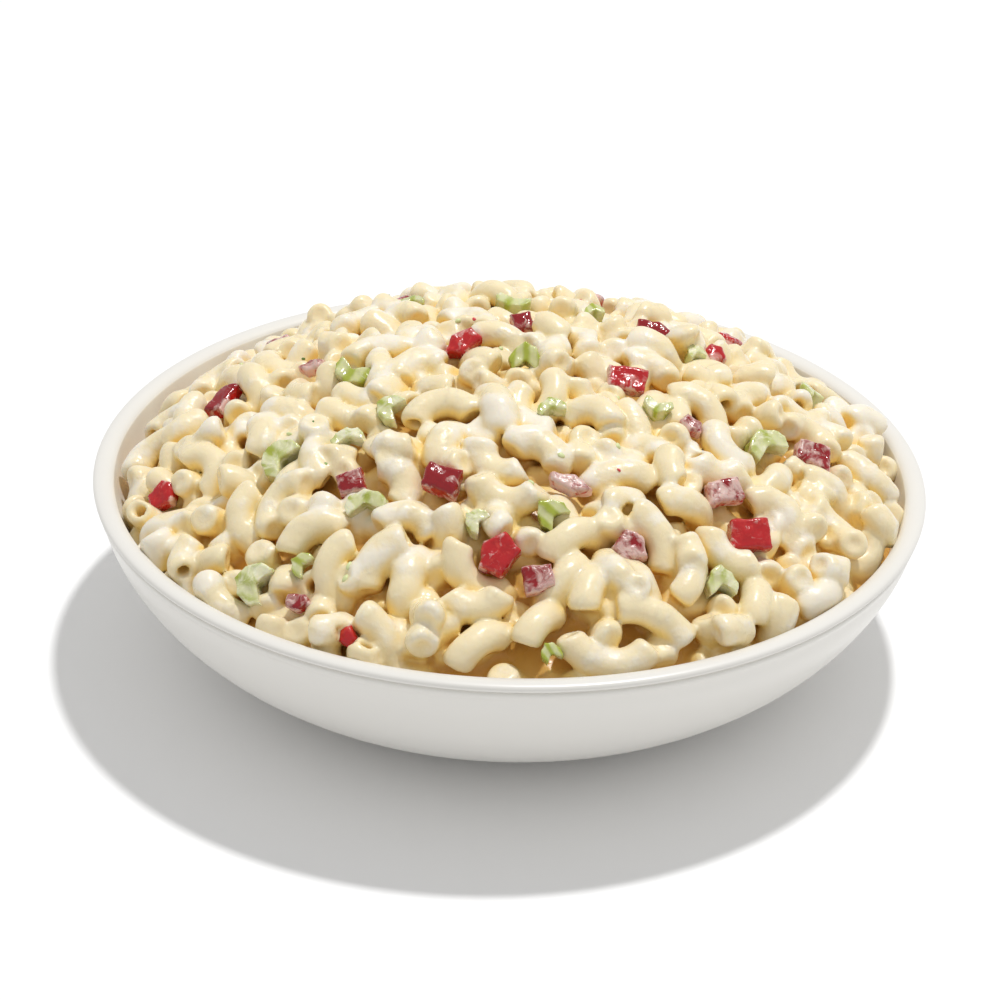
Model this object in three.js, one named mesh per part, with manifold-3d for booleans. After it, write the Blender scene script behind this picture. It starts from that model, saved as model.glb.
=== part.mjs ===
// A wide white bowl heaped with macaroni salad: elbow pasta in a creamy dressing, diced red pepper
// and diced celery. Millimetres, +Z up, +Y towards the back. The origin is the middle of the bowl's
// foot, on the surface that the bowl stands on.
//
// The pasta is laid by a small settling rule: elbows start where they are scattered or placed, and
// then push each other, the bowl's wall and the diced pieces apart until they lie side by side.
import * as THREE from "three";
import { mergeVertices } from "three/addons/utils/BufferGeometryUtils.js";
import Module from "manifold-3d";

// ---- Driving dimensions ----
const RIM_RADIUS = 115; // outside of the rim
const RIM_HEIGHT = 52.5; // top of the rim above the table
const RIM_BEAD = 5.8; // width of the rim's rounded top
const FOOT_RADIUS = 49; // where the body's curve starts
const FOOT_RING = 9; // width of the flat ring that the bowl stands on
const FOOT_RECESS = 1.2; // hollow of the underside inside that ring
const SHOULDER_RADIUS = 113.6; // outside of the body just under the rim
const SHOULDER_HEIGHT = 47.8;
const WELL_RADIUS = 50; // flat floor inside the bowl
const WELL_HEIGHT = 4.5; // thickness of the floor
const WALL_TOP = RIM_HEIGHT - 2; // where the inner wall meets the rim's bead
const FLARE = 1.5; // the body's curve: a superellipse from foot to shoulder
const ROUNDNESS = 2.1;
const BOWL_SIDES = 36;

const MOUND_RISE = 36; // top of the heap above the rim
const MOUND_DROP = 6; // how far below the rim its edge lies
const MOUND_EDGE = 110; // distance from its middle to that edge
const MOUND_POWER = 2.3; // how flat its top is
const MOUND_X = 2; // the heap stands a little off the bowl's middle
const MOUND_Y = -3;
const CORE_DEPTH = 8; // solid core below the tops of the pasta
const PACK_DEPTH = 15; // pasta is laid this deep, two layers

const TUBE_RADIUS = 4.1; // coated elbow
const TUBE_SPREAD = 0.06; // unevenness of its size
const BEND_RADIUS = [6.6, 9.6]; // radius of an elbow's centre line
const TUBE_LENGTH = [15, 22]; // length of that line
const PROUD = [-1, 3.5]; // how far the tops of elbows may stand above the mound's even surface
const GAP = 0.3; // clearance between separate pieces
const DICE_SUNK = 0.3; // share of a diced piece's thickness that lies under the mound's surface
const VIEW_ELEVATION = 28; // degrees: placed pieces are posed as seen from this high in front

const SCATTERED_TOP = 124; // elbows scattered in the upper layer
const SCATTERED_UNDER = 96; // and in the lower one
const FUSED_ELBOWS = 134; // the most exposed elbows are solid, the rest lies in the core
const SIDES = 5; // faces round a solid elbow
const STEP_ANGLE = 44; // degrees of bend to each step along it
const SEED = 2024;

// ---- How the pasta settles ----
const SCATTER_EDGE = 104; // elbows are scattered this far from the bowl's middle
const SPOT_TRIES = 14; // random spots tried for each, of which the most open one is taken
const POINTS = 7; // points along an elbow's centre line that feel its neighbours
const ROUNDS = 180;
const CLOSE = 34; // elbows nearer than this can touch
const PUSH = 0.3; // share of an overlap that one round undoes
const PLACED_SHARE = 0.15; // share of a push that a placed elbow takes from a loose one
const DICE_PUSH = 0.6; // how hard the diced pieces push
const SINK = 0.12; // how fast loose pasta sinks, at first
const TOP_PUSH = 0.25; // how hard pasta is kept under the mound's surface
const FLOOR_PUSH = 0.5; // and above the lower limit of the two layers
const WALL_PUSH = 0.6; // and off the wall
const WALL_GAP = 1.2;
const PLACED_SPIN = 0.35; // share of a turn that a placed elbow takes
const HOME_PULL = 0.04; // how hard it is drawn back to its place

// Elbows that stand out, from the front: x, y of the middle on the mound, the way the outside of the
// bend points (degrees, 0 to the right, 90 up), its tip towards the viewer, its turn about that
// direction, the bend's radius and its sweep in degrees.
const PLACED = [
  [-80, -29, 0, 0, 0, 6.6, 190],
  [-67, -54, 188, 0, 0, 8.5, 130],
  [-41, -79, 172, 0, 0, 8.6, 150],
  [-31, -79, 130, -10, 0, 13, 80],
  [-49, -66, 140, 0, 0, 9, 110],
  [-26, -69, 62, -30, 0, 8, 120],
  [-26, -8, 140, -20, 45, 8, 130],
  [-18, -31, 95, -35, 0, 8.5, 140],
  [-16, -42, 90, 0, 65, 7.5, 150],
  [-4, -52, 215, 0, 0, 8, 130],
  [1, -62, 265, 0, 0, 9, 130],
  [-30, -55, 60, -20, 0, 7, 150],
  [3, -32, 225, 0, 0, 11, 125],
  [28, -53, 100, 0, 0, 11, 100],
  [16, -72, 80, 0, 0, 7.6, 160],
  [38, -69, 10, 0, 0, 14, 80],
  [46, -59, 40, 0, 10, 8.5, 130],
  [51, -19, 35, 0, 0, 8.6, 165],
  [54, -44, 250, 0, 0, 9, 110],
  [33, -32, 20, 0, 0, 11, 90],
  [21, -30, 110, -40, 0, 7.5, 130],
  [69, -47, 20, 0, 0, 7.5, 170],
  [84, -30, 45, 0, 0, 11, 100],
  [92, -44, 0, 0, 0, 7, 190],
  [81, -65, 75, 0, 0, 8, 150],
  [62, -73, 90, 0, 75, 8, 130],
  [56, -64, 240, 0, 0, 8, 130],
  [-31, -96, 0, 0, 0, 14, 75],
  [-24, -83, 90, 0, 70, 8, 130],
  [-7, -98, 90, 0, 60, 9, 110],
  [-7, -90, 270, 0, 0, 8, 120],
  [-8, -83, 232, 0, 0, 9, 150],
  [25, -98, 265, 0, 0, 12, 120],
  [36, -90, 62, 0, 0, 18, 65],
  [21, -86, 90, 0, 65, 8, 120],
  [9, -94, 90, 0, 75, 8, 110],
];

// Diced red pepper: x, y on the mound, length, width and thickness, turn on the mound in degrees,
// and how far it faces the front (0 lies on the mound, 1 faces the viewer).
const PEPPER = [
  [-80, 3, 12, 6.5, 4.5, 50, 0.2],
  [-92, -32, 8, 7.5, 5, 60, 0.5],
  [-40, -56, 8.5, 6.5, 5, 20, 0.4],
  [-55, 1, 7, 4, 4, 0, 0.4],
  [-14, 2, 11.5, 6.5, 5, 45, 0.6],
  [2, 16, 7, 6, 5, 10, 0.6],
  [39, 24, 11, 6, 4.5, 160, 0.6],
  [31, -14, 11.5, 7.5, 5, 170, 0.55],
  [-17, -59, 10.5, 8, 5.5, 155, 0.4],
  [15, -60, 11, 5, 4.5, 160, 0.2],
  [-2, -80.5, 11, 10, 6, 48, 0.5],
  [7.5, -86, 9, 7, 5.5, 20, 0.4],
  [30, -75, 8, 9, 5, 80, 0.4],
  [56, 18, 7, 6, 5, 150, 0.5],
  [81, -20, 11, 8.5, 5, 165, 0.4],
  [55, -51, 11, 7, 5, 25, 0.4],
  [61, -61, 12, 9, 6, 12, 0.5],
  [47, -30, 6.5, 5, 4, 140, 0.3],
  [-51, -85, 7, 4.5, 4, 160, 0.2],
  [-38, -96, 5.5, 5, 4, 90, 0.4],
  [-36, 58, 10, 8, 5, 30, -0.2],
  [22, 68, 11, 7, 5, 110, -0.2],
  [63, 52, 9, 8, 5, 60, -0.1],
  [-68, 42, 10, 7, 5, 140, -0.1],
];

// Diced celery, in the same columns: slices of a ribbed, curved stalk.
const CELERY = [
  [-30, 47, 8, 6, 4, 0, 0.2],
  [-43, -10, 11, 7, 5, 150, 0.5],
  [-1, 35, 11, 6, 4, 160, 0.3],
  [3, -7, 8.5, 8, 5.5, 0, 0.75],
  [22, 31, 6, 5, 4, 20, 0.3],
  [-32, -31, 8, 7, 4.5, 70, 0.4],
  [-42, -40, 9, 5, 4, 10, 0.2],
  [-60, -40, 12, 8, 5.5, 55, 0.4],
  [-36, -63, 11, 6.5, 4.5, 10, 0.4],
  [10, -33, 8, 5, 4, 20, 0.3],
  [10.5, -69, 8, 7.5, 5, 60, 0.6],
  [67, -26, 12, 8, 5.5, 40, 0.4],
  [50, 12, 6, 5, 4, 30, 0.3],
  [38, -26, 8, 5, 4.5, 170, 0.3],
  [53, -77, 8, 7.5, 6, 10, 0.4],
  [-63, -76, 11, 9, 6, 70, 0.5],
  [-51, -76, 7, 5, 4, 60, 0.4],
  [11, -102, 5, 5, 4, 45, 0.4],
  [-8, -72, 7, 6, 4.5, 60, 0.3],
  [-8, 74, 10, 7, 5, 20, -0.2],
  [46, 70, 9, 6, 5, 75, -0.2],
  [-52, 70, 9, 7, 5, 120, -0.2],
  [84, 24, 8, 7, 5, 40, 0],
];

const RAD = Math.PI / 180;

// ---- Seeded random numbers ----
let randomState = SEED;
function random() {
  randomState = (Math.imul(randomState, 1664525) + 1013904223) >>> 0;
  return randomState / 4294967296;
}
const between = (low, high) => low + (high - low) * random();

// ---- Shapes of bowl and heap ----
// Radius of the body's curve at a height, for its outside or its inside.
function bodyRadius(z, bottom, top, low, high) {
  const t = Math.min(1, Math.max(0, (z - low) / (high - low)));
  return bottom + (top - bottom) * Math.pow(1 - Math.pow(1 - t, FLARE), 1 / ROUNDNESS);
}
const innerTop = RIM_RADIUS - RIM_BEAD;
const wallRadius = (z) => bodyRadius(z, WELL_RADIUS, innerTop, WELL_HEIGHT, WALL_TOP);

function moundTop(x, y) {
  const away = Math.hypot(x - MOUND_X, y - MOUND_Y) / MOUND_EDGE;
  return RIM_HEIGHT + MOUND_RISE - (MOUND_RISE + MOUND_DROP) * Math.pow(away, MOUND_POWER);
}
function moundNormal(x, y) {
  const step = 0.5;
  const dx = (moundTop(x + step, y) - moundTop(x - step, y)) / (2 * step);
  const dy = (moundTop(x, y + step) - moundTop(x, y - step)) / (2 * step);
  return new THREE.Vector3(-dx, -dy, 1).normalize();
}

// Heights closer together near the bottom, where the body curves fastest.
function bodyHeights(low, high, count) {
  return Array.from({ length: count + 1 }, (_, i) => low + (high - low) * (i / count) ** 2);
}

// The inside of the bowl from the middle of the floor to the top of the wall, moved in by a gap.
function innerProfile(gap) {
  const line = bodyHeights(WELL_HEIGHT, WALL_TOP, 7).map((z) => new THREE.Vector2(wallRadius(z), z));
  line.unshift(new THREE.Vector2(0, WELL_HEIGHT));
  return line.map((p, i) => {
    const before = line[Math.max(0, i - 1)];
    const after = line[Math.min(line.length - 1, i + 1)];
    const along = after.clone().sub(before).normalize();
    return new THREE.Vector2(Math.max(0, p.x - along.y * gap), p.y + along.x * gap);
  });
}

function bowlProfile() {
  const outside = bodyHeights(0, SHOULDER_HEIGHT, 9)
    .slice(1)
    .map((z) => [bodyRadius(z, FOOT_RADIUS, SHOULDER_RADIUS, 0, SHOULDER_HEIGHT), z]);
  const bead = (inwards, down) => [RIM_RADIUS - inwards, RIM_HEIGHT - down];
  const rim = [
    bead(0.7, 3.9), // a soft ridge under the rim
    bead(0.8, 2.7),
    bead(1.5, 2.2), // the groove between them
    bead(0.3, 1.8),
    bead(0, 1.1),
    bead(0.6, 0.3), // the rounded top
    bead(2.4, 0),
    bead(4.4, 0.4),
    bead(5.5, 1.2),
  ];
  const foot = [
    [0, FOOT_RECESS],
    [FOOT_RADIUS - FOOT_RING - 1.5, FOOT_RECESS],
    [FOOT_RADIUS - FOOT_RING, 0],
    [FOOT_RADIUS, 0],
  ];
  const inside = innerProfile(0).reverse();
  return [...[...foot, ...outside, ...rim].map(([r, z]) => new THREE.Vector2(r, z)), ...inside];
}

// A lathe about Z: three.js turns a profile about Y.
function lathe(profile, sides) {
  return new THREE.LatheGeometry(profile, sides).rotateX(Math.PI / 2);
}

// ---- Solids ----
const wasm = await Module();
wasm.setup();

function toSolid(geometry) {
  const bare = geometry.clone();
  bare.deleteAttribute("normal");
  bare.deleteAttribute("uv");
  const merged = mergeVertices(bare, 1e-4);
  const triVerts = new Uint32Array(merged.index.array);
  const vertProperties = new Float32Array(merged.attributes.position.array);
  return new wasm.Manifold(new wasm.Mesh({ numProp: 3, vertProperties, triVerts }));
}

// The largest piece of a solid, without loose scraps or sealed hollows.
function largestPiece(solid) {
  const pieces = solid.decompose();
  return pieces.reduce((best, piece) => (piece.volume() > best.volume() ? piece : best));
}

function toGeometry(solid) {
  const { numVert, vertProperties, numProp, triVerts } = solid.getMesh();
  const positions = new Float32Array(numVert * 3);
  for (let i = 0; i < numVert; i++) {
    positions.set(vertProperties.subarray(i * numProp, i * numProp + 3), i * 3);
  }
  const geometry = new THREE.BufferGeometry();
  geometry.setAttribute("position", new THREE.BufferAttribute(positions, 3));
  geometry.setIndex(new THREE.BufferAttribute(new Uint32Array(triVerts), 1));
  geometry.computeVertexNormals();
  return geometry;
}

// The space under the mound's surface, lowered by a depth, out past the wall and down to the floor.
function underMound(depth) {
  const sides = BOWL_SIDES / 2;
  const reach = RIM_RADIUS + 5;
  const rings = 9;
  const positions = [0, 0, moundTop(0, 0) - depth];
  for (let ring = 1; ring <= rings + 1; ring++) {
    const r = reach * Math.sqrt(Math.min(ring, rings) / rings);
    for (let side = 0; side < sides; side++) {
      const angle = (2 * Math.PI * side) / sides;
      const x = r * Math.cos(angle);
      const y = r * Math.sin(angle);
      positions.push(x, y, ring > rings ? 0 : moundTop(x, y) - depth);
    }
  }
  positions.push(0, 0, 0);
  const last = positions.length / 3 - 1;
  const at = (ring, side) => 1 + (ring - 1) * sides + (side % sides);
  const index = [];
  for (let side = 0; side < sides; side++) {
    index.push(0, at(1, side), at(1, side + 1));
    for (let ring = 1; ring <= rings; ring++) {
      index.push(at(ring, side), at(ring + 1, side), at(ring + 1, side + 1));
      index.push(at(ring, side), at(ring + 1, side + 1), at(ring, side + 1));
    }
    index.push(last, at(rings + 1, side + 1), at(rings + 1, side));
  }
  const geometry = new THREE.BufferGeometry();
  geometry.setAttribute("position", new THREE.Float32BufferAttribute(positions, 3));
  geometry.setIndex(index);
  return toSolid(geometry);
}

// The bowl's inside as a solid, carried straight up from its wall to above the heap.
function bowlInside(gap, sides) {
  const profile = innerProfile(gap);
  const high = RIM_HEIGHT + MOUND_RISE + 5;
  profile.push(new THREE.Vector2(profile[profile.length - 1].x, high));
  profile.push(new THREE.Vector2(0, high));
  return toSolid(lathe(profile, sides));
}

// ---- Diced pieces ----
const toViewer = new THREE.Vector3(0, -Math.cos(VIEW_ELEVATION * RAD), Math.sin(VIEW_ELEVATION * RAD));

// Where a diced piece lies: its own Z looks out of the mound, its middle is just under the surface.
function dicePose([x, y, , , thickness, turn, facing]) {
  const out = moundNormal(x, y).multiplyScalar(1 - Math.abs(facing));
  out.addScaledVector(toViewer, Math.abs(facing)).normalize();
  if (facing < 0) out.copy(moundNormal(x, y));
  const right = new THREE.Vector3(Math.cos(turn * RAD), Math.sin(turn * RAD), 0);
  right.addScaledVector(out, -right.dot(out)).normalize();
  const across = new THREE.Vector3().crossVectors(out, right);
  const middle = moundTop(x, y) - thickness * DICE_SUNK;
  return new THREE.Matrix4().makeBasis(right, across, out).setPosition(x, y, middle);
}

// A pepper dice is a cut of the wall: an uneven four- or five-cornered block with eased edges.
function pepperOutline(length, width, grow) {
  const corners = random() < 0.5 ? 4 : 5;
  const points = [];
  for (let i = 0; i < corners; i++) {
    const angle = (2 * Math.PI * (i + 0.5)) / corners + between(-0.22, 0.22);
    const reach = corners === 4 ? between(1.12, 1.34) : between(0.98, 1.16);
    const x = Math.cos(angle) * reach * (length / 2 + grow);
    points.push(new THREE.Vector2(x, Math.sin(angle) * reach * (width / 2 + grow)));
  }
  return points;
}

// A celery dice is a slice of the stalk: a crescent with a ribbed back.
function celeryOutline(length, width, grow) {
  const points = [];
  const back = 6;
  const bow = 0.55 * width;
  for (let i = 0; i <= back; i++) {
    const t = (i / back) * 2 - 1;
    const rib = i % 2 ? 0.35 : -0.25;
    points.push([t * (length / 2 + grow), width / 2 + rib + grow - bow * t * t]);
  }
  for (const t of [1, 0, -1]) {
    const dip = -width / 2 - grow + bow * (1 - t * t) * 0.7;
    points.push([t * (length / 2 + grow) * 0.86, dip]);
  }
  return points.map(([x, y]) => new THREE.Vector2(x, y)).reverse();
}

function diceSolid(row, outline, ease, grow) {
  const [, , length, width, thickness] = row;
  const height = thickness + 2 * grow;
  const shape = new THREE.Shape(outline(length - 2 * ease, width - 2 * ease, grow));
  const geometry = new THREE.ExtrudeGeometry(shape, {
    depth: height - 2 * ease,
    bevelEnabled: ease > 0,
    bevelThickness: ease,
    bevelSize: ease,
    bevelSegments: 1,
    steps: 1,
  });
  geometry.translate(0, 0, ease - height / 2);
  return toSolid(geometry.applyMatrix4(dicePose(row)));
}

// A post of the heap's core under a diced piece, a gap below its underside.
function postUnder(row) {
  const [, , length, width, thickness] = row;
  const height = 7;
  const post = new THREE.CylinderGeometry(Math.min(length, width) * 0.28, 4, height, 5).rotateX(Math.PI / 2);
  post.translate(0, 0, -thickness / 2 - GAP - height / 2);
  return toSolid(post.applyMatrix4(dicePose(row)));
}

function makeDice(rows, outline, ease, others) {
  return rows.map((row) => {
    const start = randomState;
    let solid = diceSolid(row, outline, ease, 0);
    randomState = start;
    const grown = diceSolid(row, outline, 0, GAP);
    for (const other of others) solid = solid.subtract(other);
    others.push(grown);
    return { solid, grown, row };
  });
}

// ---- Elbows ----
// The centre line of an elbow in its own plane, about its own middle.
function elbowLine(elbow, count, from = 0, to = 1) {
  const half = elbow.sweep / 2;
  const inset = (elbow.bend * Math.sin(half)) / half;
  return Array.from({ length: count }, (_, k) => {
    const angle = -half + elbow.sweep * (from + (to - from) * (k / (count - 1)));
    return [elbow.bend * Math.sin(angle), elbow.bend * Math.cos(angle) - inset];
  });
}

function pointOn(elbow, [along, out]) {
  const { middle, chord, bulge } = elbow;
  return middle.clone().addScaledVector(chord, along).addScaledVector(bulge, out);
}

function placedElbow([x, y, bulgeTurn, tip, turn, bend, sweep]) {
  const right = new THREE.Vector3(1, 0, 0);
  const up = new THREE.Vector3().crossVectors(toViewer, right);
  const angle = bulgeTurn * RAD;
  const bulge = right.clone().multiplyScalar(Math.cos(angle)).addScaledVector(up, Math.sin(angle));
  const chord = right.clone().multiplyScalar(-Math.sin(angle)).addScaledVector(up, Math.cos(angle));
  const face = new THREE.Vector3().crossVectors(chord, bulge);
  if (face.dot(toViewer) < 0) face.negate();
  bulge.multiplyScalar(Math.cos(tip * RAD)).addScaledVector(face, Math.sin(tip * RAD));
  const side = new THREE.Vector3().crossVectors(chord, bulge);
  if (side.dot(toViewer) < 0) side.negate();
  chord.multiplyScalar(Math.cos(turn * RAD)).addScaledVector(side, Math.sin(turn * RAD));
  const radius = TUBE_RADIUS * between(1 - TUBE_SPREAD / 2, 1 + TUBE_SPREAD);
  const proud = between(0, PROUD[1]);
  const middle = new THREE.Vector3(x, y, moundTop(x, y) - radius + 0.5 * proud);
  const home = middle.clone();
  return { middle, home, chord, bulge, radius, bend, sweep: sweep * RAD, proud, placed: true };
}

// A random direction, even over the sphere.
function randomDirection() {
  for (;;) {
    const v = new THREE.Vector3(between(-1, 1), between(-1, 1), between(-1, 1));
    const size = v.length();
    if (size > 0.1 && size < 1) return v.divideScalar(size);
  }
}

// Of several random spots the one furthest from its neighbours, for an even spread.
function openSpot(taken) {
  let best = null;
  let bestRoom = -1;
  for (let i = 0; i < SPOT_TRIES; i++) {
    let x = 0;
    let y = 0;
    do {
      x = between(-SCATTER_EDGE, SCATTER_EDGE);
      y = between(-SCATTER_EDGE, SCATTER_EDGE);
    } while (Math.hypot(x, y) > SCATTER_EDGE);
    let room = Infinity;
    for (const [u, v] of taken) room = Math.min(room, (x - u) ** 2 + (y - v) ** 2);
    if (room > bestRoom) {
      bestRoom = room;
      best = [x, y];
    }
  }
  return best;
}

function scatteredElbow(taken, depth) {
  const [x, y] = openSpot(taken);
  taken.push([x, y]);
  const face = randomDirection().addScaledVector(moundNormal(x, y), 0.7).normalize();
  const chord = randomDirection();
  chord.addScaledVector(face, -chord.dot(face)).normalize();
  const bulge = new THREE.Vector3().crossVectors(face, chord);
  const bend = between(...BEND_RADIUS);
  const sweep = Math.min(between(...TUBE_LENGTH) / bend, 3.3);
  const radius = TUBE_RADIUS * between(1 - TUBE_SPREAD, 1 + TUBE_SPREAD);
  const proud = between(...PROUD) - (depth > PACK_DEPTH / 2 ? 5 : 0);
  const middle = new THREE.Vector3(x, y, moundTop(x, y) - depth);
  return { middle, chord, bulge, radius, bend, sweep, proud, placed: false };
}

// Balls that stand for a diced piece while the pasta settles.
function diceBalls(row) {
  const [, , length, width, thickness] = row;
  const radius = Math.min(length, width, thickness) / 2;
  const pose = dicePose(row);
  const spread = (size) => {
    const reach = size / 2 - radius;
    const steps = Math.ceil((2 * reach) / radius);
    if (steps === 0) return [0];
    return Array.from({ length: steps + 1 }, (_, i) => -reach + (2 * reach * i) / steps);
  };
  const balls = [];
  for (const a of spread(length)) {
    for (const b of spread(width)) {
      const centre = new THREE.Vector3(a, b, 0).applyMatrix4(pose);
      balls.push({ centre, radius: radius + GAP });
    }
  }
  return balls;
}

// The share of a push that the first of two elbows takes: placed ones hardly give way to loose ones.
function shareOf(first, second) {
  if (first.placed === second.placed) return 0.5;
  return first.placed ? PLACED_SHARE : 1 - PLACED_SHARE;
}

// One round's push on every point of every elbow.
function pushes(elbows, points, pairs, balls, round) {
  const push = elbows.map(() => Array.from({ length: POINTS }, () => new THREE.Vector3()));
  const apart = new THREE.Vector3();
  for (const [i, j] of pairs) {
    const reach = elbows[i].radius + elbows[j].radius;
    const shareI = shareOf(elbows[i], elbows[j]);
    for (let k = 0; k < POINTS; k++) {
      for (let l = 0; l < POINTS; l++) {
        apart.subVectors(points[i][k], points[j][l]);
        const distance = apart.length();
        if (distance >= reach || distance < 1e-6) continue;
        const size = (2 * PUSH * (reach - distance)) / distance;
        push[i][k].addScaledVector(apart, size * shareI);
        push[j][l].addScaledVector(apart, -size * (1 - shareI));
      }
    }
  }
  const sink = SINK * (1 - round / ROUNDS);
  elbows.forEach((elbow, i) => {
    points[i].forEach((p, k) => {
      const d = push[i][k];
      for (const ball of balls) {
        const reach = elbow.radius + ball.radius;
        if (Math.abs(p.x - ball.centre.x) > reach || Math.abs(p.y - ball.centre.y) > reach) continue;
        apart.subVectors(p, ball.centre);
        const distance = apart.length();
        if (distance < reach) d.addScaledVector(apart, (DICE_PUSH * (reach - distance)) / distance);
      }
      const top = moundTop(p.x, p.y);
      if (!elbow.placed) d.z -= sink;
      const above = p.z + elbow.radius - top - elbow.proud;
      if (above > 0) d.z -= TOP_PUSH * above;
      const floor = top - PACK_DEPTH + elbow.radius;
      if (p.z < floor) d.z += FLOOR_PUSH * (floor - p.z);
      const across = Math.hypot(p.x, p.y);
      const wall = wallRadius(p.z - TUBE_RADIUS / 2) - elbow.radius - WALL_GAP;
      if (across > wall) {
        const back = (WALL_PUSH * (across - wall)) / across;
        d.x -= back * p.x;
        d.y -= back * p.y;
      }
    });
  });
  return push;
}

// Moves an elbow as one rigid piece by the pushes on its points.
function moveElbow(elbow, points, push) {
  const shift = new THREE.Vector3();
  const spin = new THREE.Vector3();
  const arm = new THREE.Vector3();
  let spread = 0;
  for (let k = 0; k < POINTS; k++) {
    arm.subVectors(points[k], elbow.middle);
    spread += arm.lengthSq();
    spin.add(new THREE.Vector3().crossVectors(arm, push[k]));
    shift.addScaledVector(push[k], 1 / POINTS);
  }
  spin.multiplyScalar(1 / spread);
  if (elbow.placed) {
    spin.multiplyScalar(PLACED_SPIN);
    shift.addScaledVector(arm.subVectors(elbow.home, elbow.middle), HOME_PULL);
  }
  elbow.middle.add(shift);
  elbow.chord.add(new THREE.Vector3().crossVectors(spin, elbow.chord)).normalize();
  elbow.bulge.add(new THREE.Vector3().crossVectors(spin, elbow.bulge));
  elbow.bulge.addScaledVector(elbow.chord, -elbow.bulge.dot(elbow.chord)).normalize();
}

function settle(elbows, balls) {
  const lines = elbows.map((elbow) => elbowLine(elbow, POINTS));
  let pairs = [];
  for (let round = 0; round < ROUNDS; round++) {
    if (round % 10 === 0) {
      pairs = [];
      elbows.forEach((a, i) => {
        for (let j = i + 1; j < elbows.length; j++) {
          if (a.middle.distanceToSquared(elbows[j].middle) < CLOSE * CLOSE) pairs.push([i, j]);
        }
      });
    }
    const points = elbows.map((elbow, i) => lines[i].map((at) => pointOn(elbow, at)));
    const push = pushes(elbows, points, pairs, balls, round);
    elbows.forEach((elbow, i) => moveElbow(elbow, points[i], push[i]));
  }
  return elbows;
}

function layPasta(dice) {
  randomState = SEED;
  const elbows = PLACED.map(placedElbow);
  const taken = elbows.map((elbow) => [elbow.middle.x, elbow.middle.y]);
  for (const row of dice) taken.push([row[0], row[1]]);
  for (let i = 0; i < SCATTERED_TOP; i++) elbows.push(scatteredElbow(taken, TUBE_RADIUS + 0.5));
  const under = [];
  for (let i = 0; i < SCATTERED_UNDER; i++) elbows.push(scatteredElbow(under, PACK_DEPTH - TUBE_RADIUS - 1));
  return settle(elbows, dice.flatMap(diceBalls));
}

// How much of an elbow shows from above: cells of a grid in which it is the topmost.
function exposure(elbows) {
  const cell = 2;
  const tops = new Map();
  elbows.forEach((elbow, i) => {
    for (const at of elbowLine(elbow, POINTS * 2 - 1)) {
      const p = pointOn(elbow, at);
      const reach = Math.ceil(elbow.radius / cell);
      for (let a = -reach; a <= reach; a++) {
        for (let b = -reach; b <= reach; b++) {
          const column = Math.round(p.x / cell) + a;
          const row = Math.round(p.y / cell) + b;
          const away = (column * cell - p.x) ** 2 + (row * cell - p.y) ** 2;
          if (away > elbow.radius ** 2) continue;
          const height = p.z + Math.sqrt(elbow.radius ** 2 - away);
          const key = column * 1000 + row;
          if (!tops.has(key) || tops.get(key)[0] < height) tops.set(key, [height, i]);
        }
      }
    }
  });
  const shown = elbows.map(() => 0);
  for (const [, i] of tops.values()) shown[i]++;
  return shown;
}

class ElbowCurve extends THREE.Curve {
  constructor(elbow, from, to) {
    super();
    Object.assign(this, { elbow, from, to });
  }
  getPoint(t) {
    const [at] = elbowLine(this.elbow, 2, this.from + (this.to - this.from) * t);
    return pointOn(this.elbow, at);
  }
}

function elbowSolid(elbow, from, to) {
  const ring = Array.from({ length: SIDES }, (_, i) => {
    const angle = (2 * Math.PI * i) / SIDES;
    return new THREE.Vector2(elbow.radius * Math.cos(angle), elbow.radius * Math.sin(angle));
  });
  return toSolid(
    new THREE.ExtrudeGeometry(new THREE.Shape(ring), {
      steps: Math.ceil(((to - from) * elbow.sweep) / (STEP_ANGLE * RAD)),
      bevelEnabled: false,
      extrudePath: new ElbowCurve(elbow, from, to),
    }),
  );
}

// An elbow clear of the wall and the diced pieces: whole, shortened at one end, or nothing.
function clearElbow(elbow, inside, grownDice) {
  const cuts = [[0, 1], [0, 0.75], [0.25, 1], [0, 0.55], [0.45, 1]];
  for (const [from, to] of cuts) {
    const solid = elbowSolid(elbow, from, to);
    if (!solid.subtract(inside).isEmpty()) continue;
    if (grownDice.every((dice) => solid.intersect(dice).isEmpty())) return solid;
  }
  return null;
}

function heapSolid(elbows, dice) {
  const inside = bowlInside(GAP, BOWL_SIDES);
  let heap = underMound(CORE_DEPTH).intersect(bowlInside(GAP, BOWL_SIDES / 2));
  for (const { row } of dice) heap = heap.add(postUnder(row));
  const shown = exposure(elbows);
  const order = elbows.map((_, i) => i).sort((a, b) => shown[b] - shown[a]);
  const grown = dice.map((piece) => piece.grown);
  let fused = 0;
  for (const i of order) {
    if (fused === FUSED_ELBOWS) break;
    const solid = clearElbow(elbows[i], inside, grown);
    if (!solid) continue;
    heap = heap.add(solid);
    fused++;
  }
  return largestPiece(heap);
}

// ---- Materials ----
const finish = (color, roughness) => new THREE.MeshStandardMaterial({ color, roughness, metalness: 0 });
const glaze = finish(0xf1f0ec, 0.25);
const pasta = finish(0xf3e6c4, 0.35);
const pepperFlesh = finish(0xb3202a, 0.3);
const celeryFlesh = finish(0xb9c979, 0.4);

// ---- The bowl of salad ----
const salad = new THREE.Group();
function addPiece(name, geometry, material) {
  const mesh = new THREE.Mesh(geometry, material);
  mesh.name = name;
  salad.add(mesh);
}
const numbered = (stem, i) => `${stem}_${String(i + 1).padStart(2, "0")}`;

const taken = [underMound(CORE_DEPTH - GAP)];
const pepper = makeDice(PEPPER, pepperOutline, 0.7, taken);
const celery = makeDice(CELERY, celeryOutline, 0, taken);
const elbows = layPasta([...PEPPER, ...CELERY]);

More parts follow.
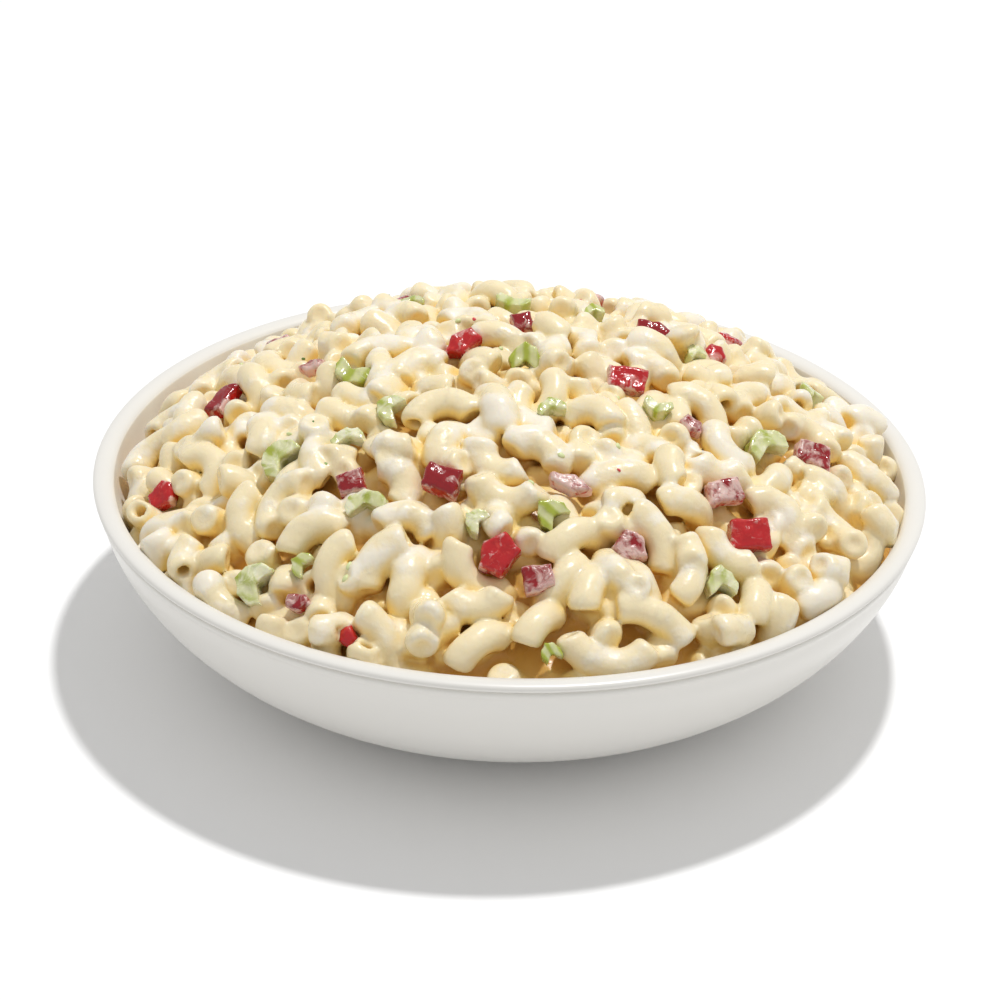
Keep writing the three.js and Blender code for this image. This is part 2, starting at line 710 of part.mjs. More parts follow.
addPiece("bowl", lathe(bowlProfile(), BOWL_SIDES), glaze);
addPiece("macaroni_heap", toGeometry(heapSolid(elbows, [...pepper, ...celery])), pasta);
pepper.forEach(({ solid }, i) => {
  addPiece(numbered("pepper", i), toGeometry(largestPiece(solid)), pepperFlesh);
});
celery.forEach(({ solid }, i) => {
  addPiece(numbered("celery", i), toGeometry(largestPiece(solid)), celeryFlesh);
});

export default salad;
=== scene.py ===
"""Bowl of macaroni salad: elbow pasta in a creamy dressing, with diced red pepper and celery.

Run as a script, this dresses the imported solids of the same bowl. Each operator makes one piece, or a
group of like pieces, in the place of its solid. Meshes are in metres. The section that lays the pasta
works in millimetres, by the same rule as the solids, so that both have the same elbows."""

import math
from functools import cache

import bpy
import numpy as np
from bpy.props import FloatProperty, FloatVectorProperty, IntProperty, PointerProperty
from mathutils import Matrix, Vector
from mathutils.bvhtree import BVHTree


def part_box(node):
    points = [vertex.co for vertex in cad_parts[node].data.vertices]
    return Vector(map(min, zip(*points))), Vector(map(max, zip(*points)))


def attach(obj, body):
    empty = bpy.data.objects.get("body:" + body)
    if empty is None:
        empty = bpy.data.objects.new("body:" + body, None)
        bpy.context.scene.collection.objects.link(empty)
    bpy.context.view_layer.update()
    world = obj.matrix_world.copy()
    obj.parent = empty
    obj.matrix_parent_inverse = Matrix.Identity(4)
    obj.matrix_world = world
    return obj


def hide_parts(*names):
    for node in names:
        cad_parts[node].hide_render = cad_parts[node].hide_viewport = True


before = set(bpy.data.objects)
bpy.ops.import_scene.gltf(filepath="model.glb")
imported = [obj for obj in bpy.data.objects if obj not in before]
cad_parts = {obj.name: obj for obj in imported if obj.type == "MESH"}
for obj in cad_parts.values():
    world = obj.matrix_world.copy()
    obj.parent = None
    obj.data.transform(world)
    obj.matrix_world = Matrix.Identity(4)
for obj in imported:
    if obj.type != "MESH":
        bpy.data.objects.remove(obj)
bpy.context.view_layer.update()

bl_info = {
    "name": "Bowl of macaroni salad",
    "version": (1, 0, 0),
    "blender": (4, 5, 0),
    "location": "3D View > Sidebar > Salad",
    "description": "Builds a white bowl heaped with macaroni salad around its solids",
    "category": "Object",
}

# ---- Sizes of the bowl and the heap, in millimetres ----
MM = 0.001
BOWL_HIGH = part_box("bowl")[1]
RIM_RADIUS = round(BOWL_HIGH[0] / MM, 2)
RIM_HEIGHT = round(BOWL_HIGH[2] / MM, 2)
RIM_BEAD = 5.8
FOOT_RADIUS = 49.0
FOOT_RING = 9.0
FOOT_RECESS = 1.2
SHOULDER_RADIUS = RIM_RADIUS - 1.4
SHOULDER_HEIGHT = RIM_HEIGHT - 4.7
WELL_RADIUS = 50.0
WELL_HEIGHT = 4.5
WALL_TOP = RIM_HEIGHT - 2.0
FLARE = 1.5
ROUNDNESS = 2.1
WALL_STEPS = 22
LOWEST_STEP = 0.12  # share of the way up at which the curve of the wall begins, before it is squared
# The rim's outline from the groove under it to its inner side: inwards and down from its outermost top.
RIM_LINE = ((0.7, 3.9), (0.75, 2.8), (1.5, 2.3), (0.3, 1.9), (-0.05, 1.1), (0.5, 0.25), (2.4, -0.05),
            (4.4, 0.35), (5.6, 1.2))

MOUND_RISE = 36.0
MOUND_DROP = 6.0
MOUND_EDGE = 110.0
MOUND_POWER = 2.3
MOUND_X = 2.0
MOUND_Y = -3.0
PACK_DEPTH = 15.0

TUBE_RADIUS = 4.1
TUBE_SPREAD = 0.06
BEND_RADIUS = (6.6, 9.6)
TUBE_LENGTH = (15.0, 22.0)
PROUD = (-1.0, 3.5)
GAP = 0.3
DICE_SUNK = 0.3
VIEW_ELEVATION = math.radians(28)

SCATTERED_TOP = 124
SCATTERED_UNDER = 96
SEED = 2024

# ---- How the pasta settles, as in the solids ----
PLACED_RISE = 0.5  # how far up a placed elbow starts, as a share of how proud it may stand
SCATTER_EDGE = 104.0
SCATTER_FACING = 0.7  # how much the scattered elbows lie along the heap's surface
MOST_SWEEP = 3.3
TOP_START = 0.5
UNDER_START = 1.0
UNDER_SUNK = 5.0  # how much lower an elbow of the under layer stays
SPOT_TRIES = 14
POINTS = 7
ROUNDS = 180
LOOK_AGAIN = 10  # rounds until the pairs that may touch are found again
CLOSE = 34.0
TOUCHING = 1e-6
PUSH = 0.3
PLACED_SHARE = 0.15
DICE_PUSH = 0.6
SINK = 0.12
TOP_PUSH = 0.25
FLOOR_PUSH = 0.5
WALL_PUSH = 0.6
WALL_GAP = 1.2
PLACED_SPIN = 0.35
HOME_PULL = 0.04

# Elbows that stand out: x, y of the middle on the mound, the way the outside of the bend points as seen
# from the front (degrees, 0 to the right, 90 up), its tip towards the viewer, its turn about that
# direction, the bend's radius and its sweep in degrees.
PLACED = [
    (-80, -29, 0, 0, 0, 6.6, 190),
    (-67, -54, 188, 0, 0, 8.5, 130),
    (-41, -79, 172, 0, 0, 8.6, 150),
    (-31, -79, 130, -10, 0, 13, 80),
    (-49, -66, 140, 0, 0, 9, 110),
    (-26, -69, 62, -30, 0, 8, 120),
    (-26, -8, 140, -20, 45, 8, 130),
    (-18, -31, 95, -35, 0, 8.5, 140),
    (-16, -42, 90, 0, 65, 7.5, 150),
    (-4, -52, 215, 0, 0, 8, 130),
    (1, -62, 265, 0, 0, 9, 130),
    (-30, -55, 60, -20, 0, 7, 150),
    (3, -32, 225, 0, 0, 11, 125),
    (28, -53, 100, 0, 0, 11, 100),
    (16, -72, 80, 0, 0, 7.6, 160),
    (38, -69, 10, 0, 0, 14, 80),
    (46, -59, 40, 0, 10, 8.5, 130),
    (51, -19, 35, 0, 0, 8.6, 165),
    (54, -44, 250, 0, 0, 9, 110),
    (33, -32, 20, 0, 0, 11, 90),
    (21, -30, 110, -40, 0, 7.5, 130),
    (69, -47, 20, 0, 0, 7.5, 170),
    (84, -30, 45, 0, 0, 11, 100),
    (92, -44, 0, 0, 0, 7, 190),
    (81, -65, 75, 0, 0, 8, 150),
    (62, -73, 90, 0, 75, 8, 130),
    (56, -64, 240, 0, 0, 8, 130),
    (-31, -96, 0, 0, 0, 14, 75),
    (-24, -83, 90, 0, 70, 8, 130),
    (-7, -98, 90, 0, 60, 9, 110),
    (-7, -90, 270, 0, 0, 8, 120),
    (-8, -83, 232, 0, 0, 9, 150),
    (25, -98, 265, 0, 0, 12, 120),
    (36, -90, 62, 0, 0, 18, 65),
    (21, -86, 90, 0, 65, 8, 120),
    (9, -94, 90, 0, 75, 8, 110),
]

# Diced red pepper: x, y on the mound, length, width and thickness, turn on the mound in degrees, how far
# it faces the front, and how much dressing lies on it.
PEPPER = [
    (-80, 3, 12, 6.5, 4.5, 50, 0.2, 0.35),
    (-92, -32, 8, 7.5, 5, 60, 0.5, 0.3),
    (-40, -56, 8.5, 6.5, 5, 20, 0.4, 0.45),
    (-55, 1, 7, 4, 4, 0, 0.4, 0.7),
    (-14, 2, 11.5, 6.5, 5, 45, 0.6, 0.25),
    (2, 16, 7, 6, 5, 10, 0.6, 0.35),
    (39, 24, 11, 6, 4.5, 160, 0.6, 0.15),
    (31, -14, 11.5, 7.5, 5, 170, 0.55, 0.3),
    (-17, -59, 10.5, 8, 5.5, 155, 0.4, 0.3),
    (15, -60, 11, 5, 4.5, 160, 0.2, 0.75),
    (-2, -80.5, 11, 10, 6, 48, 0.5, 0.3),
    (7.5, -86, 9, 7, 5.5, 20, 0.4, 0.55),
    (30, -75, 8, 9, 5, 80, 0.4, 0.6),
    (56, 18, 7, 6, 5, 150, 0.5, 0.3),
    (81, -20, 11, 8.5, 5, 165, 0.4, 0.5),
    (55, -51, 11, 7, 5, 25, 0.4, 0.65),
    (61, -61, 12, 9, 6, 12, 0.5, 0.15),
    (47, -30, 6.5, 5, 4, 140, 0.3, 0.6),
    (-51, -85, 7, 4.5, 4, 160, 0.2, 0.4),
    (-38, -96, 5.5, 5, 4, 90, 0.4, 0.2),
    (-36, 58, 10, 8, 5, 30, -0.2, 0.3),
    (22, 68, 11, 7, 5, 110, -0.2, 0.4),
    (63, 52, 9, 8, 5, 60, -0.1, 0.25),
    (-68, 42, 10, 7, 5, 140, -0.1, 0.5),
]

# Diced celery, in the same columns: slices of a ribbed, curved stalk.
CELERY = [
    (-30, 47, 8, 6, 4, 0, 0.2, 0.2),
    (-43, -10, 11, 7, 5, 150, 0.5, 0.2),
    (-1, 35, 11, 6, 4, 160, 0.3, 0.3),
    (3, -7, 8.5, 8, 5.5, 0, 0.75, 0.1),
    (22, 31, 6, 5, 4, 20, 0.3, 0.3),
    (-32, -31, 8, 7, 4.5, 70, 0.4, 0.6),
    (-42, -40, 9, 5, 4, 10, 0.2, 0.6),
    (-60, -40, 12, 8, 5.5, 55, 0.4, 0.45),
    (-36, -63, 11, 6.5, 4.5, 10, 0.4, 0.6),
    (10, -33, 8, 5, 4, 20, 0.3, 0.4),
    (10.5, -69, 8, 7.5, 5, 60, 0.6, 0.1),
    (67, -26, 12, 8, 5.5, 40, 0.4, 0.4),
    (50, 12, 6, 5, 4, 30, 0.3, 0.4),
    (38, -26, 8, 5, 4.5, 170, 0.3, 0.5),
    (53, -77, 8, 7.5, 6, 10, 0.4, 0.5),
    (-63, -76, 11, 9, 6, 70, 0.5, 0.55),
    (-51, -76, 7, 5, 4, 60, 0.4, 0.3),
    (11, -102, 5, 5, 4, 45, 0.4, 0.1),
    (-8, -72, 7, 6, 4.5, 60, 0.3, 0.6),
    (-8, 74, 10, 7, 5, 20, -0.2, 0.3),
    (46, 70, 9, 6, 5, 75, -0.2, 0.2),
    (-52, 70, 9, 7, 5, 120, -0.2, 0.4),
    (84, 24, 8, 7, 5, 40, 0, 0.3),
]

# ---- Fine sizes that only show here, in millimetres ----
SLIM = 0.12  # how much the elbows are drawn in, so that their fillets stay narrow
LIP = 1.9  # rounding of the elbows' ends
DIMPLE_WIDTH = (1.5, 2.2)  # radius of the hollow in a closed end
DIMPLE_DEPTH = (0.15, 0.8)
OPEN_SHARE = 0.07  # share of the ends that are open
BORE_RADIUS = (0.36, 0.46)  # of the tube's radius
BORE_DEPTH = 5.0
END_EASE = 0.5  # how far an edge is rounded: a closed end's, a bore's and that of a hole over a piece
BORE_EASE = 0.8
DICE_EASE = 1.0
BORE_PAST = 1.5  # how far a bore reaches out of the end
DICE_HOLE = (0.44, 2.5, 0.5)  # half the hole in the coat: share of the sides, height and overlap
FAR = 3.0  # the coat isn't worked out further than this from the pasta
DEEPEST = -4.0
LINE_POINTS = 9
SHELL_DEPTH = 9.0  # under the heap's surface, where a gap is deepest
CUT_DEPTH = 14.0  # the coat's mesh ends this far down, inside the core
COAT_BELOW = 22.0  # the grid's floor under the rim, and its top over the mound
COAT_ABOVE = 6.0
WALL_OVERLAP = 0.2
# Thicker dressing in pools and in ripples: size and number of waves, then depth.
POOLS = (30.0, 5)
POOL_RANGE = (0.5, 0.8)  # where pools begin, and how far they rise above that
POOL_DEPTH = 0.9
RIPPLES = (9.0, 6)
RIPPLE_DEPTH = 0.16
CROWD_REACH = 2.4  # how far crowding, which sets the painted shade, is averaged, and how far out of the surface it is read
CROWD_OUT = 2.2
DOWN_SHADE = (0.22, 0.45)  # painted shade: how much darker a surface is that looks down, and where that begins
SETTLE_STEP = 0.3  # the most that a point moves onto the surface at once, in steps of the grid
LEAST_SLOPE = 0.2
MOST_FACES = 365000
DRESSED = 0.47  # share of the coat's faces, the thickest, that are the dressing's piece
CORE_DEPTH = 10.5
CORE_SIDES = 64
CORE_GAP = 0.6
CORE_TOP = 15.0  # under the rim, where the core leaves the wall
CORE_RINGS = (14, 16)
# The core's depth, shade and thickness for the coat's material, which set its painted shade and its dressing.
CORE_LOOKS = {"sunk": 0.36, "shade": 0.35, "thick": 1.0}
DICE_EDGE = 0.35
DICE_GRAIN = 0.34
DICE_BUMPS = ((5.0, 0.2), (1.8, 0.05))  # size and height
TONE_SPAN = 1.7  # what is left of a diced piece's x, divided by this, is its tone
# A chip is a plate with a point above and below it: its corners, how uneven they are, and its points.
CHIP_SIDES = 6
CHIP_TURN = 0.3
CHIP_REACH = (0.7, 1.1)
CHIP_UNDER = 1.12
CHIP_TIPS = (1.4, -1.2)
FLECK_EDGE = 96.0
FLECK_SUNK = 0.4
FLECK_TONE = 0.4
LEAST_UP = 0.35  # how much a place looks up that gets a fleck
PLACE_TRIES = 500
RAY_HEIGHT = 200.0
PEPPER_BITS = 8

# Elbows that only fill what gaps the others leave at the heap's surface.
FILL_MOST = 520
FILL_EDGE = 106.0
FILL_GRID = 2.5
FILL_WALL = 0.5  # how much more a gap beside the wall counts than one in the middle
FILL_WALL_POWER = 8
# Each turn of filling: the length of its elbows, and how deep a gap is that gets one.
FILL_TURNS = (((15.0, 23.0), 2.8), ((9.0, 13.0), 2.5))
FILL_TRIES = 200
FILL_ROUNDS = 14
FILL_ENDS = 0.15  # share of the poses that show an end
FILL_FACING = (0.7, 0.35)  # how much such an end turns to the viewer, and how much that varies
FILL_FLAT = 0.5  # how much the others lie along the heap's surface
FILL_SHIFT = 3.0  # how far from the gap's middle an elbow may lie, to each side
FILL_END_SUNK = (-1.5, 2.0)
FILL_SUNK = (-1.2, 4.0)
# Where the bowl's wall shows: the direction in degrees, and how much further in the heap ends.
BARE_WALLS = ((148, 9.0), (36, 7.0))
BARE_FADE = (4.0, 2.5)
FILL_PROUD = 1.8
FILL_RISE = 3.5
FILL_RISE_POWER = 6
# What crossing something costs: nothing for a little of it, and less where it is hidden.
FREE = 0.4
EDGE_ROOM = 3.0
SHOWN_DEPTH = 6.0
FADE_DEPTH = 5.0
HIDDEN_COST = 0.1
WALL_COST = 3
TOP_COST = 2
GAP_DEPTH = 10.0  # a gap deeper than this counts no more
FILL_CLOSE = 24.0
TRIED_COST = 1.2
TRIED_NEAR = 3.0
# How far towards the viewer the diced pieces and the placed elbows keep their sight free.
DICE_SIGHT = (5.0, 10.0)
ELBOW_SIGHT = (6.0, 11.0)

# ---- The stage, in metres ----
SENSOR = 36.0  # millimetres
CAMERA_SHIFT = (-0.0106, -0.0415)
LAMP_PLACE = (0.26, 0.28, 1.6)
FLOOR_REACH = 12.0


# ---- Settings ----
def color(name, description, default):
    return FloatVectorProperty(
        name=name, description=description, default=default, min=0.0, max=1.0, subtype="COLOR"
    )


def length(name, description, default):
    return FloatProperty(name=name, description=description, default=default, min=0.0, unit="LENGTH")


class BowlSettings(bpy.types.PropertyGroup):
    glaze: color("Glaze", "Colour of the bowl", (0.79, 0.772, 0.73))
    sides: IntProperty(name="Sides", description="Faces round the bowl", default=224, min=24)


class CoatSettings(bpy.types.PropertyGroup):
    cream: color("Cream", "Thinly coated pasta", (0.88, 0.758, 0.50))
    milk: color("Milk", "Thick dressing", (0.885, 0.82, 0.685))
    # Painted shade: the next two colours stand for the shade between the elbows, on their down-looking sides
    # and deep in the heap.
    ochre_shade: color("Ochre", "Pasta between its neighbours", (0.92, 0.695, 0.265))
    umber_shade: color("Umber", "Pasta deep in the heap", (0.66, 0.36, 0.075))
    grain: length("Grain", "Spacing of the surface's points before it is simplified", 0.0008)
    fillet: length("Fillet", "Size of the fillets between the elbows", 0.0005)
    coat: length("Coat", "Dressing on the elbows' crests", 0.0)


class PepperSettings(bpy.types.PropertyGroup):
    skin: color("Skin", "Skin of the red pepper", (0.27, 0.002, 0.006))
    flesh: color("Flesh", "Cut faces of the red pepper", (0.46, 0.006, 0.009))
    pale: color("Pale flesh", "Pale veins in the cut faces", (0.62, 0.05, 0.035))


class CelerySettings(bpy.types.PropertyGroup):
    rib: color("Rib", "Green of the stalk's back", (0.37, 0.42, 0.05))
    flesh: color("Flesh", "Cut faces of the celery", (0.74, 0.73, 0.46))


class FleckSettings(bpy.types.PropertyGroup):
    herb: color("Herb", "Chopped herbs", (0.10, 0.17, 0.03))
    herbs: IntProperty(name="Herbs", description="Number of herb flecks", default=9, min=0)
    bits: IntProperty(name="Bits", description="Number of small bits of celery", default=14, min=0)


class StageSettings(bpy.types.PropertyGroup):
    elevation: FloatProperty(
        name="Elevation", description="Camera above the table", default=math.radians(28), subtype="ANGLE"
    )
    roll: FloatProperty(
        name="Roll", description="Turn of the camera", default=math.radians(1.9), subtype="ANGLE"
    )
    distance: length("Distance", "From the camera to the middle of the rim", 0.665)
    lens: FloatProperty(name="Lens", description="Focal length", default=85.86, unit="CAMERA")
    key: FloatProperty(name="Key", description="Power of the main light", default=15.8, min=0.0, unit="POWER")
    key_size: length("Key size", "Width of the main light", 0.11)
    fill: FloatProperty(name="Fill", description="Strength of the room's light", default=0.575, min=0.0)
    floor: color("Floor", "Colour of the floor", (0.97, 0.97, 0.97))


# ---- Laying the pasta, in millimetres ----
class Draws:
    """Seeded random numbers."""

    def __init__(self, seed):
        self.state = seed

    def next(self):
        self.state = (self.state * 1664525 + 1013904223) % 4294967296
        return self.state / 4294967296

    def between(self, low, high):
        return low + (high - low) * self.next()

    def direction(self):
        """A random direction, even over the sphere."""
        while True:
            v = np.array([self.between(-1, 1), self.between(-1, 1), self.between(-1, 1)])
            size = math.sqrt(v @ v)
            if 0.1 < size < 1:
                return v / size


def unit(v):
    return v / np.sqrt((v * v).sum(axis=-1, keepdims=True))


def body_radius(z, bottom, top, low, high):
    """Radius of the bowl's curve at a height, for its outside or its inside."""
    t = np.clip((z - low) / (high - low), 0, 1)
    return bottom + (top - bottom) * (1 - (1 - t) ** FLARE) ** (1 / ROUNDNESS)


def wall_radius(z):
    return body_radius(z, WELL_RADIUS, RIM_RADIUS - RIM_BEAD, WELL_HEIGHT, WALL_TOP)


def mound_top(x, y):
    away = np.hypot(x - MOUND_X, y - MOUND_Y) / MOUND_EDGE
    return RIM_HEIGHT + MOUND_RISE - (MOUND_RISE + MOUND_DROP) * away**MOUND_POWER


def mound_normal(x, y):
    step = 0.5
    dx = (mound_top(x + step, y) - mound_top(x - step, y)) / (2 * step)
    dy = (mound_top(x, y + step) - mound_top(x, y - step)) / (2 * step)
    return unit(np.array([-dx, -dy, 1.0]))


TO_VIEWER = np.array([0, -math.cos(VIEW_ELEVATION), math.sin(VIEW_ELEVATION)])
VIEW_RIGHT = np.array([1.0, 0, 0])
VIEW_UP = np.cross(TO_VIEWER, VIEW_RIGHT)


def dice_pose(row):
    """Axes and middle of a diced piece: its own Z looks out of the mound."""
    x, y, _, _, thickness, turn, facing = row[:7]
    out = mound_normal(x, y)
    if facing > 0:
        out = unit(out * (1 - facing) + TO_VIEWER * facing)
    right = np.array([math.cos(math.radians(turn)), math.sin(math.radians(turn)), 0])
    right = unit(right - out * (right @ out))
    axes = np.array([right, np.cross(out, right), out])
    return axes, np.array([x, y, mound_top(x, y) - thickness * DICE_SUNK])


def dice_balls(row):
    """Balls that stand for a diced piece while the pasta settles."""
    size = row[2:5]
    radius = min(size) / 2
    axes, middle = dice_pose(row)

    def spread(side):
        reach = side / 2 - radius
        steps = math.ceil(2 * reach / radius)
        return [-reach + 2 * reach * i / steps for i in range(steps + 1)] if steps else [0]

    centres = [middle + a * axes[0] + b * axes[1] for a in spread(size[0]) for b in spread(size[1])]
    return [(*centre, radius + GAP) for centre in centres]


def placed_elbow(draws, row):
    x, y, bulge_turn, tip, turn, bend, sweep = row
    angle, tip, turn = (math.radians(v) for v in (bulge_turn, tip, turn))
    bulge = VIEW_RIGHT * math.cos(angle) + VIEW_UP * math.sin(angle)
    chord = VIEW_UP * math.cos(angle) - VIEW_RIGHT * math.sin(angle)
    face = np.cross(chord, bulge)
    face = face if face @ TO_VIEWER >= 0 else -face
    bulge = bulge * math.cos(tip) + face * math.sin(tip)
    side = np.cross(chord, bulge)
    side = side if side @ TO_VIEWER >= 0 else -side
    chord = chord * math.cos(turn) + side * math.sin(turn)
    radius = TUBE_RADIUS * draws.between(1 - TUBE_SPREAD / 2, 1 + TUBE_SPREAD)
    proud = draws.between(0, PROUD[1])
    middle = np.array([x, y, mound_top(x, y) - radius + PLACED_RISE * proud])
    return dict(middle=middle, chord=chord, bulge=bulge, radius=radius, bend=bend,
                sweep=math.radians(sweep), proud=proud, placed=True)


def open_spot(draws, taken):
    """Of several random spots the one furthest from its neighbours, for an even spread."""
    best = None
    best_room = -1
    for _ in range(SPOT_TRIES):
        while True:
            x = draws.between(-SCATTER_EDGE, SCATTER_EDGE)
            y = draws.between(-SCATTER_EDGE, SCATTER_EDGE)
            if math.hypot(x, y) <= SCATTER_EDGE:
                break
        room = min(((x - u) ** 2 + (y - v) ** 2 for u, v in taken), default=math.inf)
        if room > best_room:
            best_room = room
            best = (x, y)
    return best


def scattered_elbow(draws, taken, depth):
    x, y = open_spot(draws, taken)
    taken.append((x, y))
    face = unit(draws.direction() + SCATTER_FACING * mound_normal(x, y))
    chord = draws.direction()
    chord = unit(chord - face * (chord @ face))
    bulge = np.cross(face, chord)
    bend = draws.between(*BEND_RADIUS)
    sweep = min(draws.between(*TUBE_LENGTH) / bend, MOST_SWEEP)
    radius = TUBE_RADIUS * draws.between(1 - TUBE_SPREAD, 1 + TUBE_SPREAD)
    proud = draws.between(*PROUD) - (UNDER_SUNK if depth > PACK_DEPTH / 2 else 0)
    middle = np.array([x, y, mound_top(x, y) - depth])
    return dict(middle=middle, chord=chord, bulge=bulge, radius=radius, bend=bend, sweep=sweep,
                proud=proud, placed=False)


def settle(elbows, balls):
    """Pushes elbows apart, off the wall and off the diced pieces, each as one rigid piece."""
    placed = elbows["placed"]
    radius = elbows["radius"]
    middle, chord, bulge = elbows["middle"], elbows["chord"], elbows["bulge"]
    home = middle.copy()
    for rounds in range(ROUNDS):
        if rounds % LOOK_AGAIN == 0:
            gaps = ((middle[:, None] - middle[None]) ** 2).sum(axis=-1)
            first, second = np.nonzero(np.triu(gaps < CLOSE * CLOSE, 1))
            same = placed[first] == placed[second]
            part = np.where(same, 0.5, np.where(placed[first], PLACED_SHARE, 1 - PLACED_SHARE))
            reach = (radius[first] + radius[second])[:, None, None]
        points = chain(dict(elbows, middle=middle, chord=chord, bulge=bulge))
        push = np.zeros_like(points)
        apart = points[first][:, :, None] - points[second][:, None]
        distance = np.sqrt((apart * apart).sum(axis=-1))
        touching = (distance < reach) & (distance >= TOUCHING)
        size = np.where(touching, 2 * PUSH * (reach - distance) / np.maximum(distance, TOUCHING), 0)
        apart *= size[..., None]
        np.add.at(push, first, apart.sum(axis=2) * part[:, None, None])
        np.add.at(push, second, -apart.sum(axis=1) * (1 - part)[:, None, None])

        apart = points[:, :, None] - balls[:, :3]
        distance = np.sqrt((apart * apart).sum(axis=-1))
        reach_ball = radius[:, None, None] + balls[:, 3]
        size = np.where(distance < reach_ball, DICE_PUSH * (reach_ball - distance) / distance, 0)
        push += (apart * size[..., None]).sum(axis=2)

        x, y, z = points[..., 0], points[..., 1], points[..., 2]
        top = mound_top(x, y)
        tube = radius[:, None]
        push[..., 2] -= np.where(placed, 0, SINK * (1 - rounds / ROUNDS))[:, None]
        push[..., 2] -= TOP_PUSH * np.maximum(z + tube - top - elbows["proud"][:, None], 0)
        push[..., 2] += FLOOR_PUSH * np.maximum(top - PACK_DEPTH + tube - z, 0)
        across = np.hypot(x, y)
        wall = wall_radius(z - TUBE_RADIUS / 2) - tube - WALL_GAP
        back = WALL_PUSH * np.maximum(across - wall, 0) / across
        push[..., 0] -= back * x
        push[..., 1] -= back * y

        arm = points - middle[:, None]
        spin = np.cross(arm, push).sum(axis=1) / (arm * arm).sum(axis=(1, 2))[:, None]
        shift = push.mean(axis=1)
        spin[placed] *= PLACED_SPIN
        shift[placed] += (home - middle)[placed] * HOME_PULL
        middle = middle + shift
        chord = unit(chord + np.cross(spin, chord))
        bulge = bulge + np.cross(spin, bulge)
        bulge = unit(bulge - chord * (bulge * chord).sum(axis=1, keepdims=True))
    return dict(elbows, middle=middle, chord=chord, bulge=bulge)


def chain(elbows):
    """Seven points along each elbow's centre line."""
    angles = (np.arange(POINTS) / (POINTS - 1) - 0.5) * elbows["sweep"][:, None]
    half = elbows["sweep"] / 2
    inset = elbows["bend"] * np.sin(half) / half
    along = (elbows["bend"][:, None] * np.sin(angles))[..., None]
    out = (elbows["bend"][:, None] * np.cos(angles) - inset[:, None])[..., None]
    return elbows["middle"][:, None] + elbows["chord"][:, None] * along + elbows["bulge"][:, None] * out


def candidates(rng, spot, count, lengths):
    """Elbows in random poses about a spot at the heap's surface, some with an end that shows."""
    radius = TUBE_RADIUS * rng.uniform(1 - TUBE_SPREAD, 1 + TUBE_SPREAD, count)
    bend = rng.uniform(*BEND_RADIUS, count)
    half = rng.uniform(*lengths, count) / bend / 2
    up = unit(mound_normal(*spot) + FILL_FACING[0] * TO_VIEWER)
    facing = unit(up + FILL_FACING[1] * rng.normal(size=(count, 3)))
    outward = unit(np.cross(facing, rng.normal(size=(count, 3))))
    cos, sin = np.cos(half)[:, None], np.sin(half)[:, None]
    flat = unit(rng.normal(size=(count, 3)) + FILL_FLAT * mound_normal(*spot))
    across = unit(np.cross(flat, rng.normal(size=(count, 3))))
    shows_end = (rng.random(count) < FILL_ENDS)[:, None]
    chord = np.where(shows_end, facing * cos + outward * sin, across)
    bulge = np.where(shows_end, outward * cos - facing * sin, np.cross(flat, across))
    to_end = chord * bend[:, None] * sin + bulge * (bend[:, None] * (cos - sin / half[:, None]))
    middle = np.empty((count, 3))
    middle[:, :2] = np.array(spot) + rng.uniform(-FILL_SHIFT, FILL_SHIFT, (count, 2))
    end_sunk = rng.uniform(*FILL_END_SUNK, count)
    sunk = np.where(shows_end[:, 0], end_sunk, radius + rng.uniform(*FILL_SUNK, count))
    middle[:, 2] = mound_top(middle[:, 0], middle[:, 1]) - sunk
    middle -= np.where(shows_end, to_end, 0)
    return dict(middle=middle, chord=chord, bulge=bulge, radius=radius, bend=bend, sweep=2 * half)


def fill_top(x, y):
    """How high the small elbows may stand: a little proud, and nearly to the rim beside the wall."""
    return mound_top(x, y) + FILL_PROUD + FILL_RISE * (np.hypot(x, y) / MOUND_EDGE) ** FILL_RISE_POWER


def heap_edge(x, y):
    """How far out the small elbows may lie: less where the bowl's wall shows."""
    edge = FILL_EDGE
    for turn, width in BARE_WALLS:
        toward = np.cos(np.arctan2(y, x) - math.radians(turn))
        edge = edge - width * np.clip(toward * BARE_FADE[0] - BARE_FADE[1], 0, 1)
    return edge


def crossing(elbows, solid):
    """How much elbows cross solid balls, the wall and the heap's surface."""
    points = chain(elbows)
    gaps = np.linalg.norm(points[:, :, None] - solid[:, :3], axis=-1)
    deep = np.maximum(elbows["radius"][:, None, None] + solid[:, 3] - gaps - FREE, 0)
    x, y, z = points[..., 0], points[..., 1], points[..., 2]
    tube = elbows["radius"][:, None]
    wall = np.minimum(wall_radius(z - TUBE_RADIUS / 2) - FREE, heap_edge(x, y) + EDGE_ROOM)
    wall = np.maximum(np.hypot(x, y) - wall + tube, 0)
    above = np.maximum(z + tube - fill_top(x, y), 0)
    shows = np.clip(1 - (mound_top(x, y) - z - SHOWN_DEPTH) / FADE_DEPTH, HIDDEN_COST, 1)
    deep = shows * deep.max(axis=2) ** 2
    return deep.sum(axis=1) + (wall**2).sum(axis=1) * WALL_COST + (above**2).sum(axis=1) * TOP_COST


